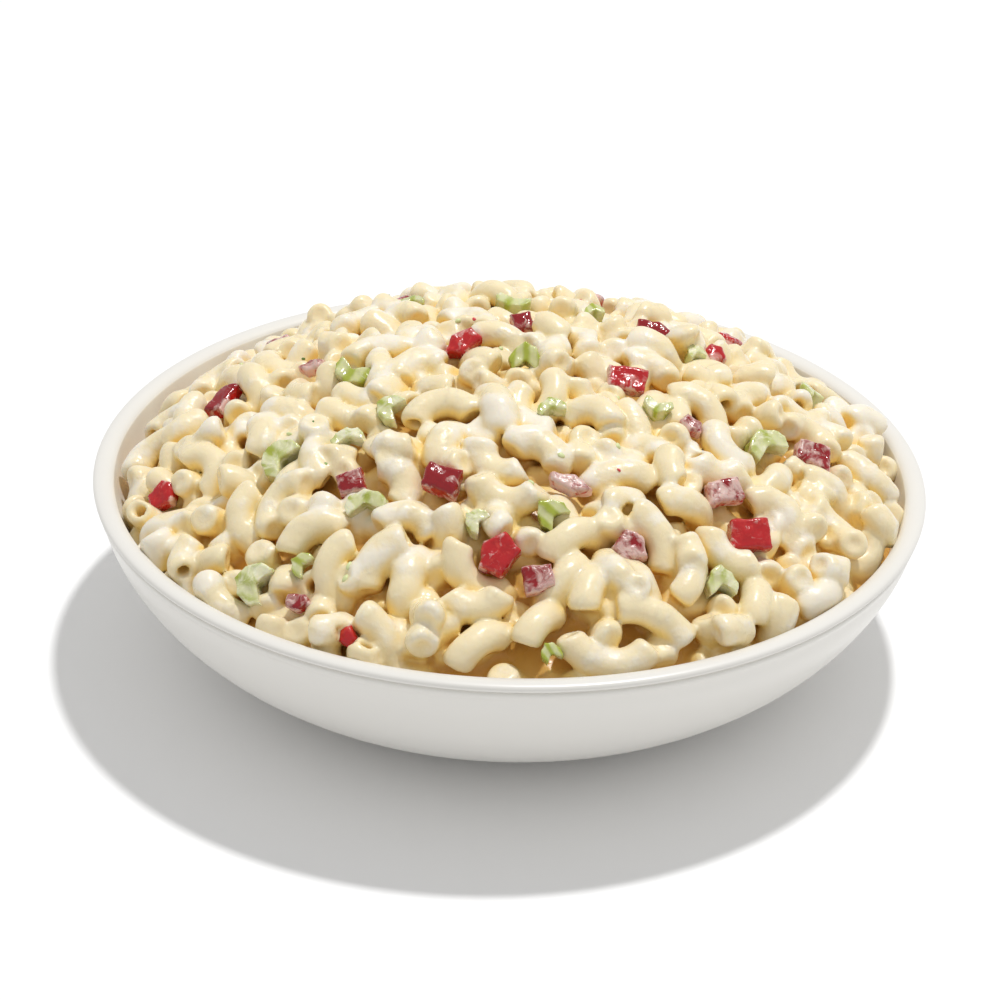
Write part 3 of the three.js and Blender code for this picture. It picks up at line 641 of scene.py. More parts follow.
def eased(row, solid):
    """One elbow moved a little out of what it crosses."""
    points = chain(row)[0]
    tube = row["radius"][0]
    apart = points[:, None] - solid[:, :3]
    gaps = np.linalg.norm(apart, axis=-1)
    size = np.maximum(tube + solid[:, 3] - gaps, 0) / gaps * PUSH
    push = (apart * size[..., None]).sum(axis=1)
    x, y, z = points.T
    push[:, 2] -= FLOOR_PUSH * np.maximum(z + tube - fill_top(x, y), 0)
    across = np.hypot(x, y)
    wall = wall_radius(z - TUBE_RADIUS / 2) - tube - WALL_GAP / 2
    back = WALL_PUSH * np.maximum(across - wall, 0) / across
    push[:, :2] -= back[:, None] * points[:, :2]
    middle, chord, bulge = row["middle"][0], row["chord"][0], row["bulge"][0]
    arm = points - middle
    spin = np.cross(arm, push).sum(axis=0) / (arm * arm).sum()
    chord = unit(chord + np.cross(spin, chord))
    bulge = bulge + np.cross(spin, bulge)
    bulge = unit(bulge - chord * (bulge @ chord))
    middle = middle + push.mean(axis=0)
    return dict(row, middle=middle[None], chord=chord[None], bulge=bulge[None])


def around(values):
    """The sum of each value on a grid and its eight neighbours."""
    return sum(np.roll(values * 1.0, (i, j), (0, 1)) for i in (-1, 0, 1) for j in (-1, 0, 1))


def gap_left(elbows, spot):
    """How deep the gap at a spot of the heap's surface still is with each elbow in it."""
    points = chain(elbows)
    rise = elbows["radius"][:, None] ** 2 - ((points[..., :2] - np.array(spot)) ** 2).sum(axis=-1)
    cover = np.where(rise > 0, points[..., 2] + np.sqrt(np.maximum(rise, 0)), -np.inf).max(axis=1)
    return np.clip(mound_top(*spot) - cover, 0, GAP_DEPTH)


def fill_gaps(elbows, balls):
    """Small elbows for the gaps at the heap's surface, the deepest gap first."""
    rng = np.random.default_rng(SEED)
    centres = chain(elbows)
    radii = np.repeat(elbows["radius"][:, None], POINTS, axis=1)[..., None]
    solid = np.concatenate([np.concatenate([centres, radii], axis=2).reshape(-1, 4), balls])
    line = np.arange(-FILL_EDGE, FILL_EDGE + FILL_GRID, FILL_GRID)
    x, y = np.meshgrid(line, line, indexing="ij")
    inside = np.hypot(x, y) < heap_edge(x, y)
    top = mound_top(x, y)
    cover = top - PACK_DEPTH

    def cover_with(spheres):
        for cx, cy, cz, radius in spheres:
            rise = radius**2 - (x - cx) ** 2 - (y - cy) ** 2
            np.maximum(cover, np.where(rise > 0, cz + np.sqrt(np.maximum(rise, 0)), cover), out=cover)

    cover_with(solid)
    placed = len(PLACED) * POINTS
    for kept, reaches in ((balls, DICE_SIGHT), (solid[:placed], ELBOW_SIGHT)):
        sight = [kept + np.append(TO_VIEWER * reach, 0) for reach in reaches]
        solid = np.concatenate([solid, *sight])
    tried = np.zeros_like(top)
    counts = np.where(inside, 1 + FILL_WALL * (np.hypot(x, y) / FILL_EDGE) ** FILL_WALL_POWER, 0)
    rows = []
    turns = iter(FILL_TURNS)
    lengths, deepest = next(turns)
    for _ in range(FILL_MOST):
        depth = np.where(inside, np.clip(top - cover, 0, GAP_DEPTH), 0)
        mean = counts * around(depth) / np.maximum(around(inside), 1) - tried
        at = np.unravel_index(mean.argmax(), mean.shape)
        if mean[at] < deepest:
            lengths, deepest = next(turns, (None, None))
            if lengths is None:
                break
            tried[:] = 0
            continue
        spot = (x[at], y[at])
        tried += TRIED_COST * (np.hypot(x - spot[0], y - spot[1]) < TRIED_NEAR)
        poses = candidates(rng, spot, FILL_TRIES, lengths)
        close = np.hypot(solid[:, 0] - spot[0], solid[:, 1] - spot[1]) < FILL_CLOSE
        best = (crossing(poses, solid[close]) + gap_left(poses, spot) ** 2).argmin()
        row = {key: value[best : best + 1] for key, value in poses.items()}
        for _ in range(FILL_ROUNDS):
            row = eased(row, solid[close])
        spheres = np.column_stack([chain(row)[0], np.full(POINTS, row["radius"][0])])
        cover_with(spheres)
        solid = np.concatenate([solid, spheres])
        rows.append(row)
    return rows


@cache
def lay_pasta():
    """All elbows after settling: arrays of their middles, directions, radii, bends and sweeps."""
    draws = Draws(SEED)
    rows = [placed_elbow(draws, row) for row in PLACED]
    taken = [tuple(row["middle"][:2]) for row in rows]
    taken += [row[:2] for row in PEPPER + CELERY]
    rows += [scattered_elbow(draws, taken, TUBE_RADIUS + TOP_START) for _ in range(SCATTERED_TOP)]
    under = []
    under_depth = PACK_DEPTH - TUBE_RADIUS - UNDER_START
    rows += [scattered_elbow(draws, under, under_depth) for _ in range(SCATTERED_UNDER)]
    elbows = {key: np.array([row[key] for row in rows]) for key in rows[0]}
    balls = np.array([ball for row in PEPPER + CELERY for ball in dice_balls(row)])
    elbows = settle(elbows, balls)
    kept = ("middle", "chord", "bulge", "radius", "bend", "sweep")
    rows = [elbows, *fill_gaps(elbows, balls)]
    elbows = {key: np.concatenate([row[key] for row in rows]) for key in kept}
    count = len(elbows["radius"])
    ends = np.random.default_rng(SEED + 1)
    elbows["tone"] = ends.random(count)
    elbows["dimple"] = ends.uniform(*DIMPLE_DEPTH, (count, 2))
    elbows["width"] = ends.uniform(*DIMPLE_WIDTH, (count, 2))
    elbows["bores"] = [
        (i, sign, ends.uniform(*BORE_RADIUS))
        for i in range(count)
        for sign in (-1, 1)
        if ends.random() < OPEN_SHARE
    ]
    return elbows


# ---- Meshes ----
def waves(points, wavelength, seed, count=7):
    """A smooth random field over points, about -1 to 1: a sum of waves in random directions."""
    draws = Draws(seed)
    total = np.zeros(points.shape[:-1])
    for _ in range(count):
        turn = draws.direction() * 2 * math.pi / (wavelength * draws.between(0.7, 1.4))
        total += np.sin(points @ turn + draws.between(0, 2 * math.pi))
    return total / math.sqrt(count)


def set_values(mesh, values):
    """Keeps named numbers or vectors on a mesh's points, for its material."""
    for key, data in values.items():
        data = np.asarray(data, dtype=np.float32)
        kind, part = ("FLOAT_VECTOR", "vector") if data.ndim == 2 else ("FLOAT", "value")
        mesh.attributes.new(key, kind, "POINT").data.foreach_set(part, data.ravel())


def dress(piece, material, replaced):
    """Gives a piece its material, smooth shading and its place on the one body."""
    piece.data.materials.clear()
    piece.data.materials.append(material)
    piece.data.shade_smooth()
    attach(piece, "root")
    if replaced:
        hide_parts(replaced)


def new_object(name, data):
    piece = bpy.data.objects.new(name, data)
    bpy.context.scene.collection.objects.link(piece)
    return piece


def add_piece(name, vertices, faces, material, replaced, values):
    """A piece from points in millimetres."""
    mesh = bpy.data.meshes.new(name)
    mesh.from_pydata((np.asarray(vertices) * MM).tolist(), [], faces)
    mesh.update()
    set_values(mesh, values)
    piece = new_object(name, mesh)
    dress(piece, material, replaced)
    return piece


def lathe(profile, sides):
    """Points and faces of a profile of (radius, height) turned about Z, from axis to axis."""
    angles = np.arange(sides) * 2 * math.pi / sides
    body = profile[1:-1]
    ring = np.stack([np.cos(angles), np.sin(angles)], axis=1)
    points = [np.concatenate([ring * r, np.full((sides, 1), z)], axis=1) for r, z in body]
    points = np.concatenate([*points, [[0, 0, profile[0][1]], [0, 0, profile[-1][1]]]])
    edges = [(i, (i + 1) % sides) for i in range(sides)]
    starts = range(0, (len(body) - 1) * sides, sides)
    faces = [(row + i, row + j, row + sides + j, row + sides + i) for row in starts for i, j in edges]
    last, first = (len(body) - 1) * sides, len(body) * sides
    for i, j in edges:
        faces += [(first, j, i), (first + 1, last + i, last + j)]
    return points, faces


def rounded(profile, times):
    """Cuts the corners of a profile, so that its bends become curves."""
    line = np.array(profile, dtype=float)
    for _ in range(times):
        a, b = line[:-1], line[1:]
        cut = np.stack([a * 0.75 + b * 0.25, a * 0.25 + b * 0.75], axis=1).reshape(-1, 2)
        line = np.concatenate([line[:1], cut[1:-1], line[-1:]])
    return line


CORNERS = np.array([(i, j, k) for i in (0, 1) for j in (0, 1) for k in (0, 1)])


def surface_nets(field, low, step):
    """Points and faces of the surface where a field on a grid is zero, inside below zero."""
    inside = field < 0
    shape = np.array(field.shape) - 1
    count = np.zeros(shape, dtype=np.int8)
    for i, j, k in CORNERS:
        count += inside[i : shape[0] + i, j : shape[1] + j, k : shape[2] + k]
    active = (count > 0) & (count < len(CORNERS))
    cells = np.argwhere(active)
    at = cells[:, None] + CORNERS
    value = field[at[..., 0], at[..., 1], at[..., 2]]
    total = np.zeros((len(cells), 3))
    crossings = np.zeros(len(cells))
    pairs = [(a, b) for a in range(len(CORNERS)) for b in range(a + 1, len(CORNERS))]
    for a, b in pairs:
        if np.abs(CORNERS[a] - CORNERS[b]).sum() != 1:
            continue
        crossed = (value[:, a] < 0) != (value[:, b] < 0)
        t = np.where(crossed, value[:, a] / np.where(crossed, value[:, a] - value[:, b], 1), 0)
        point = CORNERS[a] + t[:, None] * (CORNERS[b] - CORNERS[a])
        total += point * crossed[:, None]
        crossings += crossed
    points = cells + total / crossings[:, None]
    number = np.full(shape, -1, dtype=np.int64)
    number[active] = np.arange(len(cells))
    faces = []
    for axis in range(3):
        one, two = (axis + 1) % 3, (axis + 2) % 3
        here = inside.take(range(shape[axis]), axis)
        there = inside.take(range(1, shape[axis] + 1), axis)
        at = np.argwhere(here != there)
        at = at[(at[:, one] > 0) & (at[:, two] > 0) & (at[:, one] < shape[one]) & (at[:, two] < shape[two])]
        flip = here[at[:, 0], at[:, 1], at[:, 2]]
        back_one, back_two = np.eye(3, dtype=int)[[one, two]]
        ring = [at, at - back_one, at - back_one - back_two, at - back_two]
        quad = np.stack([number[c[:, 0], c[:, 1], c[:, 2]] for c in ring], axis=1)
        quad[~flip] = quad[~flip][:, ::-1]
        faces.append(quad)
    return low + points * step, np.concatenate(faces)


def centre_line(elbows, i, arc):
    """Points of an elbow's centre line at distances along it from its middle."""
    bend, half = elbows["bend"][i], elbows["sweep"][i] / 2
    inset = bend * math.sin(half) / half
    angle = np.asarray(arc)[:, None] / bend
    outward = elbows["chord"][i] * np.sin(angle) + elbows["bulge"][i] * np.cos(angle)
    return elbows["middle"][i] + outward * bend - elbows["bulge"][i] * inset


def half_length(elbows, i):
    return elbows["bend"][i] * elbows["sweep"][i] / 2


# ---- The field of the coated pasta: distances on a grid, below zero inside ----
def tube_distance(elbows, i, points):
    """Distance from points to an elbow's surface, with its rounded and hollow ends."""
    bend, half, radius = elbows["bend"][i], elbows["sweep"][i] / 2, elbows["radius"][i]
    inset = bend * math.sin(half) / half
    offset = points - elbows["middle"][i]
    chord, bulge = elbows["chord"][i], elbows["bulge"][i]
    along = offset @ chord
    out = offset @ bulge + inset
    side = offset @ np.cross(chord, bulge)
    past = (np.abs(np.arctan2(along, out)) - half) * bend
    lateral = np.hypot(np.hypot(along, out) - bend, side)
    along_end = np.abs(along) - bend * math.sin(half)
    out_end = out - bend * math.cos(half)
    past_end = along_end * math.cos(half) - out_end * math.sin(half)
    lateral_end = np.hypot(along_end * math.sin(half) + out_end * math.cos(half), side)
    beyond = past > 0
    past = np.where(beyond, past_end, past)
    lateral = np.where(beyond, lateral_end, lateral)
    a = lateral - radius + LIP
    b = past + LIP
    tube = np.minimum(np.maximum(a, b), 0) + np.hypot(np.maximum(a, 0), np.maximum(b, 0)) - LIP
    for sign, depth, width in zip((-1, 1), elbows["dimple"][i], elbows["width"][i]):
        ball = (width**2 + depth**2) / (2 * depth)
        line = centre_line(elbows, i, [sign * bend * half, sign * (bend * half + 1)])
        centre = line[0] + unit(line[1] - line[0]) * (ball - depth)
        hollow = ball - np.linalg.norm(points - centre, axis=-1)
        tube = smooth_most(tube, hollow, END_EASE)
    return tube


def smooth_most(a, b, ease):
    """The larger of two fields, with a rounded edge where they meet."""
    return np.maximum(a, b) + np.maximum(ease - np.abs(a - b), 0) ** 2 / (4 * ease)


class Grid:
    """A box of evenly spaced places in millimetres."""

    def __init__(self, low, high, step):
        self.low = np.array(low)
        self.step = step
        self.shape = np.ceil((np.array(high) - self.low) / step).astype(int) + 1

    def places(self, spans=(slice(None),) * 3):
        axes = [self.low[k] + self.step * np.arange(self.shape[k])[spans[k]] for k in range(3)]
        return np.stack(np.meshgrid(*axes, indexing="ij"), axis=-1)

    def near(self, points, reach):
        """The part of the grid within reach of points."""
        first = np.floor((points.min(axis=0) - reach - self.low) / self.step).astype(int)
        last = np.ceil((points.max(axis=0) + reach - self.low) / self.step).astype(int) + 1
        first = np.clip(first, 0, self.shape)
        return tuple(slice(a, b) for a, b in zip(first, np.clip(last, first, self.shape)))

    def value(self, fields, points):
        """Values of fields at points, from the eight places round each."""
        place = (points - self.low) / self.step
        base = np.clip(np.floor(place).astype(int), 0, self.shape - 2)
        part = place - base
        values = [np.zeros(len(points)) for _ in fields]
        for corner in CORNERS:
            weight = np.abs(1 - corner - part).prod(axis=1)
            at = tuple((base + corner).T)
            for value, field in zip(values, fields):
                value += weight * field[at]
        return values


def open_air(solid):
    """The part of a grid's empty space that is reached from above."""
    empty = ~solid
    air = np.zeros_like(empty)
    air[:, :, -1] = empty[:, :, -1]
    while True:
        grown = air.copy()
        for axis in range(3):
            ahead, behind = [
                tuple(part if k == axis else slice(None) for k in range(3))
                for part in (slice(1, None), slice(None, -1))
            ]
            grown[ahead] |= air[behind]
            grown[behind] |= grown[ahead]
        grown &= empty
        if (grown == air).all():
            return air
        air = grown


def blurred(field, reach):
    """A field averaged over boxes, twice, reach cells to each side."""
    for axis in (0, 1, 2, 0, 1, 2):
        pad = [(0, 0)] * 3
        pad[axis] = (reach + 1, reach)
        total = np.cumsum(np.pad(field, pad, mode="edge"), axis=axis, dtype=np.float64)
        count = field.shape[axis]
        upper = total.take(range(2 * reach + 1, 2 * reach + 1 + count), axis)
        field = (upper - total.take(range(count), axis)) / (2 * reach + 1)
    return field


def carve_bores(field, grid, elbows):
    """Opens the ends that aren't closed."""
    for i, sign, size in elbows["bores"]:
        half = half_length(elbows, i)
        line = centre_line(elbows, i, sign * (half + np.array([-BORE_DEPTH, 0.0, 1.0])))
        line = np.array([line[0], line[1] + unit(line[2] - line[1]) * BORE_PAST])
        size *= elbows["radius"][i]
        spans = grid.near(line, size + 1)
        places = grid.places(spans)
        run = line[1] - line[0]
        part = np.clip(((places - line[0]) @ run) / (run @ run), 0, 1)
        gap = np.linalg.norm(places - line[0] - part[..., None] * run, axis=-1) - size
        field[spans] = smooth_most(field[spans], -gap, BORE_EASE)


def clear_dice(field, grid):
    """Keeps the coat off the faces of the diced pieces that look out of the heap."""
    part, height, overlap = DICE_HOLE
    for row in PEPPER + CELERY:
        axes, middle = dice_pose(row)
        half = np.array([row[2] * part, row[3] * part, height])
        centre = middle + axes[2] * (row[4] / 2 + half[2] - overlap)
        spans = grid.near(centre[None], half.max() + 2)
        local = np.abs((grid.places(spans) - centre) @ axes.T) - half
        gap = np.minimum(local.max(axis=-1), 0) + np.linalg.norm(np.maximum(local, 0), axis=-1)
        field[spans] = smooth_most(field[spans], -gap, DICE_EASE)


def coat_field(grid, sharp, coat):
    """The field of the coated pasta, the distance to bare pasta, and the tone of the nearest elbow."""
    elbows = lay_pasta()
    places = grid.places()
    x, y, z = places[..., 0], places[..., 1], places[..., 2]
    near = np.exp(-sharp * (z - mound_top(x, y) + SHELL_DEPTH)) + math.exp(-sharp * FAR)
    bare = np.full(near.shape, FAR)
    tone = np.zeros(near.shape)
    for i in range(len(elbows["radius"])):
        half = half_length(elbows, i)
        line = centre_line(elbows, i, np.linspace(-half, half, LINE_POINTS))
        spans = grid.near(line, elbows["radius"][i] + FAR)
        distance = tube_distance(elbows, i, grid.places(spans))
        near[spans] += np.exp(-sharp * np.maximum(distance, DEEPEST))
        nearest = distance < bare[spans]
        bare[spans] = np.where(nearest, distance, bare[spans])
        tone[spans] = np.where(nearest, elbows["tone"][i], tone[spans])
    size, count = POOLS
    start, most = POOL_RANGE
    pools = np.clip(waves(places, size, SEED + 5, count) - start, 0, most)
    size, count = RIPPLES
    thick = coat - SLIM + pools * POOL_DEPTH + waves(places, size, SEED + 6, count) * RIPPLE_DEPTH
    field = -np.log(near) / sharp - thick
    carve_bores(field, grid, elbows)
    clear_dice(field, grid)
    field = np.maximum(field, np.hypot(x, y) - wall_radius(z) - WALL_OVERLAP)
    return field, bare, tone


def simplified(points, faces, most):
    """The same surface with fewer faces: points and triangles."""
    mesh = bpy.data.meshes.new("coat")
    mesh.from_pydata(points.tolist(), [], faces.tolist())
    piece = new_object("coat", mesh)
    fewer = piece.modifiers.new("fewer", "DECIMATE")
    fewer.ratio = min(1.0, most / (2 * len(faces)))
    graph = bpy.context.evaluated_depsgraph_get()
    plain = bpy.data.meshes.new_from_object(piece.evaluated_get(graph))
    plain.calc_loop_triangles()
    points = np.zeros(len(plain.vertices) * 3)
    plain.vertices.foreach_get("co", points)
    corners = np.zeros(len(plain.loop_triangles) * 3, dtype=np.int32)
    plain.loop_triangles.foreach_get("vertices", corners)
    bpy.data.objects.remove(piece)
    bpy.data.meshes.remove(mesh)
    bpy.data.meshes.remove(plain)
    return points.reshape(-1, 3), corners.reshape(-1, 3)


@cache
def coated_pasta(step, fillet, coat):
    """The pasta in its dressing as one surface: points, triangles, normals and values."""
    reach = RIM_RADIUS - RIM_BEAD + 2
    low = (-reach, -reach, RIM_HEIGHT - COAT_BELOW)
    grid = Grid(low, (reach, reach, RIM_HEIGHT + MOUND_RISE + COAT_ABOVE), step)
    field, bare, tone = coat_field(grid, 1 / fillet, coat)
    air = open_air(field < 0)
    field = np.where((field >= 0) & ~air, -1.0, field)
    crowd = blurred((~air).astype(np.float32), round(CROWD_REACH / step))
    points, faces = surface_nets(field, grid.low, step)
    depth = mound_top(points[:, 0], points[:, 1]) - points[:, 2]
    faces = faces[(depth[faces] < CUT_DEPTH).all(axis=1)]
    points, faces = simplified(points, faces, MOST_FACES)
    if not len(faces):
        raise RuntimeError("the coated pasta has no surface")
    slopes = np.gradient(field, step)
    for _ in range(2):
        value, *slope = grid.value([field, *slopes], points)
        slope = np.stack(slope, axis=1)
        move = slope * (value / np.maximum((slope * slope).sum(axis=1), LEAST_SLOPE))[:, None]
        points = points - np.clip(move, -SETTLE_STEP * step, SETTLE_STEP * step)
    normals = unit(np.stack(grid.value(slopes, points), axis=1) + 1e-9)
    depth = mound_top(points[:, 0], points[:, 1]) - points[:, 2]
    crowd = grid.value([crowd], points + normals * CROWD_OUT)[0]
    darker, level = DOWN_SHADE
    # shade and sunk carry the material's painted shade: how crowded the space round a point is, how far it
    # looks down, and how deep it lies in the heap.
    values = {
        "thick": np.clip(grid.value([bare], points)[0], 0, FAR),
        "shade": crowd + darker * (level - normals[:, 2]),
        "tone": grid.value([tone], points)[0],
        "sunk": np.clip(depth / PACK_DEPTH, 0, 1),
    }
    return points, faces, normals, values


def coat_piece(name, dressed):
    """The part of the coated pasta that is dressing by itself, or the rest."""
    settings = bpy.context.scene.salad_coat
    sizes = (settings.grain / MM, settings.fillet / MM, settings.coat / MM)
    points, faces, normals, values = coated_pasta(*sizes)
    thick = values["thick"][faces].mean(axis=1)
    thick = thick > np.quantile(thick, 1 - DRESSED)
    used, inverse = np.unique(faces[thick == dressed], return_inverse=True)
    values = {key: data[used] for key, data in values.items()}
    material = bpy.data.materials.get("coated_pasta") or coated_material(settings)
    kept = inverse.reshape(-1, 3).tolist()
    piece = add_piece(name, points[used], kept, material, "macaroni_heap", values)
    piece.data.normals_split_custom_set_from_vertices(normals[used].tolist())


# ---- Shader helpers ----
class Nodes:
    """Short calls for the nodes and links of one material or group."""

    def __init__(self, tree):
        self.tree = tree

    def add(self, kind, **settings):
        """A node with its own settings, and its sockets linked or set."""
        node = self.tree.nodes.new(kind)
        for key, value in settings.items():
            if hasattr(node, key):
                setattr(node, key, value)
            else:
                self.put(value, node.inputs[key.replace("_", " ")])
        return node

    def put(self, value, socket):
        """Links a socket to another, or gives it a number or a colour."""
        if isinstance(value, bpy.types.NodeSocket):
            self.tree.links.new(value, socket)
        elif isinstance(value, (int, float)):
            socket.default_value = value
        else:
            socket.default_value = (*value, 1.0)

    def noise(self, place, scale, detail=3.0, **settings):
        node = self.add("ShaderNodeTexNoise", Vector=place, Scale=scale, Detail=detail, **settings)
        return node.outputs["Fac"]

    def cloud(self, place, size, detail=3.0):
        """Noise whose spots are about as wide as size, in metres."""
        return self.noise(place, 1 / size, detail, Roughness=0.55)

    def spread(self, value, low, high, to_low=0.0, to_high=1.0):
        """Maps low..high to to_low..to_high, with soft ends."""
        ends = {"From_Min": low, "From_Max": high, "To_Min": to_low, "To_Max": to_high}
        node = self.add("ShaderNodeMapRange", interpolation_type="SMOOTHSTEP", Value=value, **ends)
        return node.outputs["Result"]

    def math(self, operation, a, b=0.0, clamp=False):
        node = self.add("ShaderNodeMath", operation=operation, use_clamp=clamp)
        for value, socket in zip((a, b), node.inputs):
            self.put(value, socket)
        return node.outputs["Value"]

    def plus(self, a, b, clamp=False):
        return self.math("ADD", a, b, clamp)

    def times(self, a, b, clamp=False):
        return self.math("MULTIPLY", a, b, clamp)

    def mix(self, mask, a, b):
        """Colour a where the mask is 0 and b where it is 1."""
        node = self.add("ShaderNodeMix", data_type="RGBA")
        for value, socket in zip((mask, a, b), [s for s in node.inputs if s.enabled]):
            self.put(value, socket)
        return [s for s in node.outputs if s.enabled][0]

    def attribute(self, name):
        return self.add("ShaderNodeAttribute", attribute_name=name).outputs["Fac"]

    def place(self):
        return self.add("ShaderNodeTexCoord").outputs["Object"]


def shader_group(name, inputs, outputs, build):
    """A node group with named sockets, built once."""
    tree = bpy.data.node_groups.get(name)
    if tree:
        return tree
    tree = bpy.data.node_groups.new(name, "ShaderNodeTree")
    for way, sockets in (("INPUT", inputs), ("OUTPUT", outputs)):
        for socket, (kind, *default) in sockets.items():
            made = tree.interface.new_socket(socket, in_out=way, socket_type=f"NodeSocket{kind}")
            if default:
                made.default_value = default[0]
    nodes = Nodes(tree)
    build(nodes, nodes.add("NodeGroupInput").outputs, nodes.add("NodeGroupOutput").inputs)
    return tree


def wet_relief():
    """Height of soft unevenness with finer grain on it."""

    def build(nodes, source, target):
        soft = nodes.noise(source["Place"], source["Soft"], 2.0)
        fine = nodes.noise(source["Place"], source["Fine"], 4.0)
        nodes.put(nodes.plus(soft, nodes.times(fine, source["Grain"])), target["Height"])

    inputs = {"Place": ("Vector",), "Soft": ("Float", 200.0), "Fine": ("Float", 900.0)}
    inputs["Grain"] = ("Float", 0.3)
    return shader_group("wet_relief", inputs, {"Height": ("Float",)}, build)


def dressing_film():
    """Dressing that clings to a piece: its colour over the piece's own, and how much covers it."""

    def build(nodes, source, target):
        spots = nodes.noise(source["Place"], source["Scale"], Roughness=0.6, Distortion=0.8)
        level = nodes.math("SUBTRACT", nodes.plus(spots, nodes.times(source["Coat"], 0.5)), 0.7)
        cover = nodes.times(nodes.times(level, source["Sharp"], clamp=True), source["Most"])
        nodes.put(nodes.mix(cover, source["Color"], source["Film"]), target["Color"])
        nodes.put(cover, target["Cover"])

    inputs = {"Place": ("Vector",), "Scale": ("Float", 260.0), "Coat": ("Float", 0.3)}
    inputs |= {"Most": ("Float", 0.85), "Sharp": ("Float", 6.0), "Color": ("Color",), "Film": ("Color",)}
    return shader_group("dressing_film", inputs, {"Color": ("Color",), "Cover": ("Float",)}, build)


def new_material(name, **settings):
    """A material with one Principled shader, the shader and its nodes."""
    material = bpy.data.materials.new(name)
    material.use_nodes = True
    nodes = Nodes(material.node_tree)
    shader = next(n for n in nodes.tree.nodes if n.type == "BSDF_PRINCIPLED")
    for key, value in settings.items():
        shader.inputs[key.replace("_", " ")].default_value = value
    return material, nodes, shader


def finish_surface(nodes, shader, color, shine):
    """Links the colour, and the roughness that a value and its range give."""
    nodes.put(color, shader.inputs["Base Color"])
    nodes.put(nodes.spread(*shine), shader.inputs["Roughness"])


def add_relief(nodes, shader, place, sizes, depth, more=None):
    """Wet unevenness as a bump, with another height on it."""
    values = dict(zip(("Soft", "Fine", "Grain"), sizes))
    height = nodes.add("ShaderNodeGroup", node_tree=wet_relief(), Place=place, **values).outputs["Height"]
    if more is not None:
        height = nodes.plus(height, more)
    bump = nodes.add("ShaderNodeBump", Distance=depth, Height=height)
    nodes.put(bump.outputs["Normal"], shader.inputs["Normal"])


def glaze_material(settings):
    """White glaze: faint clouds in its colour and shine, and painted light that makes the inside of the bowl
    a little lighter.
    """
    material, nodes, shader = new_material("white_glaze")
    # Painted light: the glaze inside the bowl is a tenth lighter.
    inner = [min(1.0, c + 0.1) for c in settings.glaze]
    base = nodes.mix(nodes.attribute("inside"), settings.glaze, inner)
    clouds = nodes.times(nodes.cloud(nodes.place(), 0.06, 0.0), 0.25)
    finish_surface(nodes, shader, nodes.mix(clouds, base, (0.8, 0.77, 0.71)), (clouds, 0.0, 0.25, 0.29, 0.33))
    return material


def coated_material(settings):
    """Pasta in creamy dressing: whiter where the coat is thick, with painted shade from yellow-brown to dark
    brown between the elbows, under them and deep in the heap.
    """
    material, nodes, shader = new_material(
        "coated_pasta", Subsurface_Weight=0.28, Subsurface_Radius=(1.0, 0.82, 0.5),
        Subsurface_Scale=0.0018, Specular_IOR_Level=0.4
    )
    place = nodes.place()
    patches = nodes.cloud(place, 0.007, 4.0)
    cover = nodes.plus(nodes.attribute("thick"), nodes.times(patches, 2.6))
    cover = nodes.math("SUBTRACT", cover, nodes.times(nodes.attribute("tone"), 0.5))
    smear = nodes.spread(cover, 1.0, 1.7)
    base = nodes.mix(smear, settings.cream, settings.milk)
    # Painted shade: yellow-brown where the pasta is crowded, looks down or lies deep, and dark brown where it
    # is both crowded and deep, and wherever it lies deeper still.
    shade = nodes.attribute("shade")
    deep = nodes.attribute("sunk")
    between = nodes.math("MAXIMUM", nodes.spread(shade, 0.10, 0.58), nodes.spread(deep, 0.25, 0.5))
    base = nodes.mix(between, base, settings.ochre_shade)
    inner = nodes.times(nodes.spread(shade, 0.5, 0.85), nodes.spread(deep, 0.15, 0.4))
    inner = nodes.math("MAXIMUM", inner, nodes.spread(deep, 0.4, 0.62))
    finish_surface(nodes, shader, nodes.mix(inner, base, settings.umber_shade), (patches, 0.3, 0.7, 0.24, 0.38))
    add_relief(nodes, shader, place, (260.0, 700.0, 0.2), 0.0003, nodes.times(smear, 0.5))
    return material


def local_place(nodes):
    """Where a point lies in its diced piece: -1 to 1 on each axis."""
    local = nodes.add("ShaderNodeAttribute", attribute_name="local")
    axes = nodes.add("ShaderNodeSeparateXYZ", Vector=local.outputs["Vector"])
    return [axes.outputs[name] for name in "XYZ"]


def pepper_material(settings, milk):
    """Red pepper: a deep red skin on one side, lighter edges and flesh, and dressing clinging to it."""
    material, nodes, shader = new_material(
        "red_pepper", Subsurface_Weight=0.2, Subsurface_Radius=(1.0, 0.12, 0.08),
        Subsurface_Scale=0.0012, Specular_IOR_Level=0.6
    )
    place = nodes.place()
    x, y, across = local_place(nodes)
    edge = nodes.math("MAXIMUM", nodes.math("ABSOLUTE", x), nodes.math("ABSOLUTE", y))
    ripple = nodes.times(nodes.math("SUBTRACT", nodes.cloud(place, 0.0022), 0.5), 0.5)
    skin = nodes.spread(nodes.plus(across, ripple), 0.35, 0.75)
    edge = nodes.spread(nodes.plus(edge, ripple), 0.78, 1.0, 0.0, 0.5)
    veins = nodes.spread(nodes.cloud(place, 0.0018), 0.5, 0.8)
    flesh = nodes.mix(veins, settings.flesh, settings.pale)
    base = nodes.mix(skin, flesh, nodes.mix(edge, settings.skin, settings.flesh))
    coat = nodes.plus(nodes.attribute("coat"), nodes.times(edge, 0.9))
    tint = (milk[0] * 0.95, milk[1] * 0.8, milk[2] * 0.85)
    film = nodes.add("ShaderNodeGroup", node_tree=dressing_film(), Place=place, Scale=280.0,
                     Coat=coat, Most=0.7, Sharp=5.0, Color=base, Film=tint).outputs
    finish_surface(nodes, shader, film["Color"], (film["Cover"], 0.0, 0.6, 0.12, 0.3))
    add_relief(nodes, shader, place, (420.0, 1700.0, 0.3), 0.0002, film["Cover"])
    return material


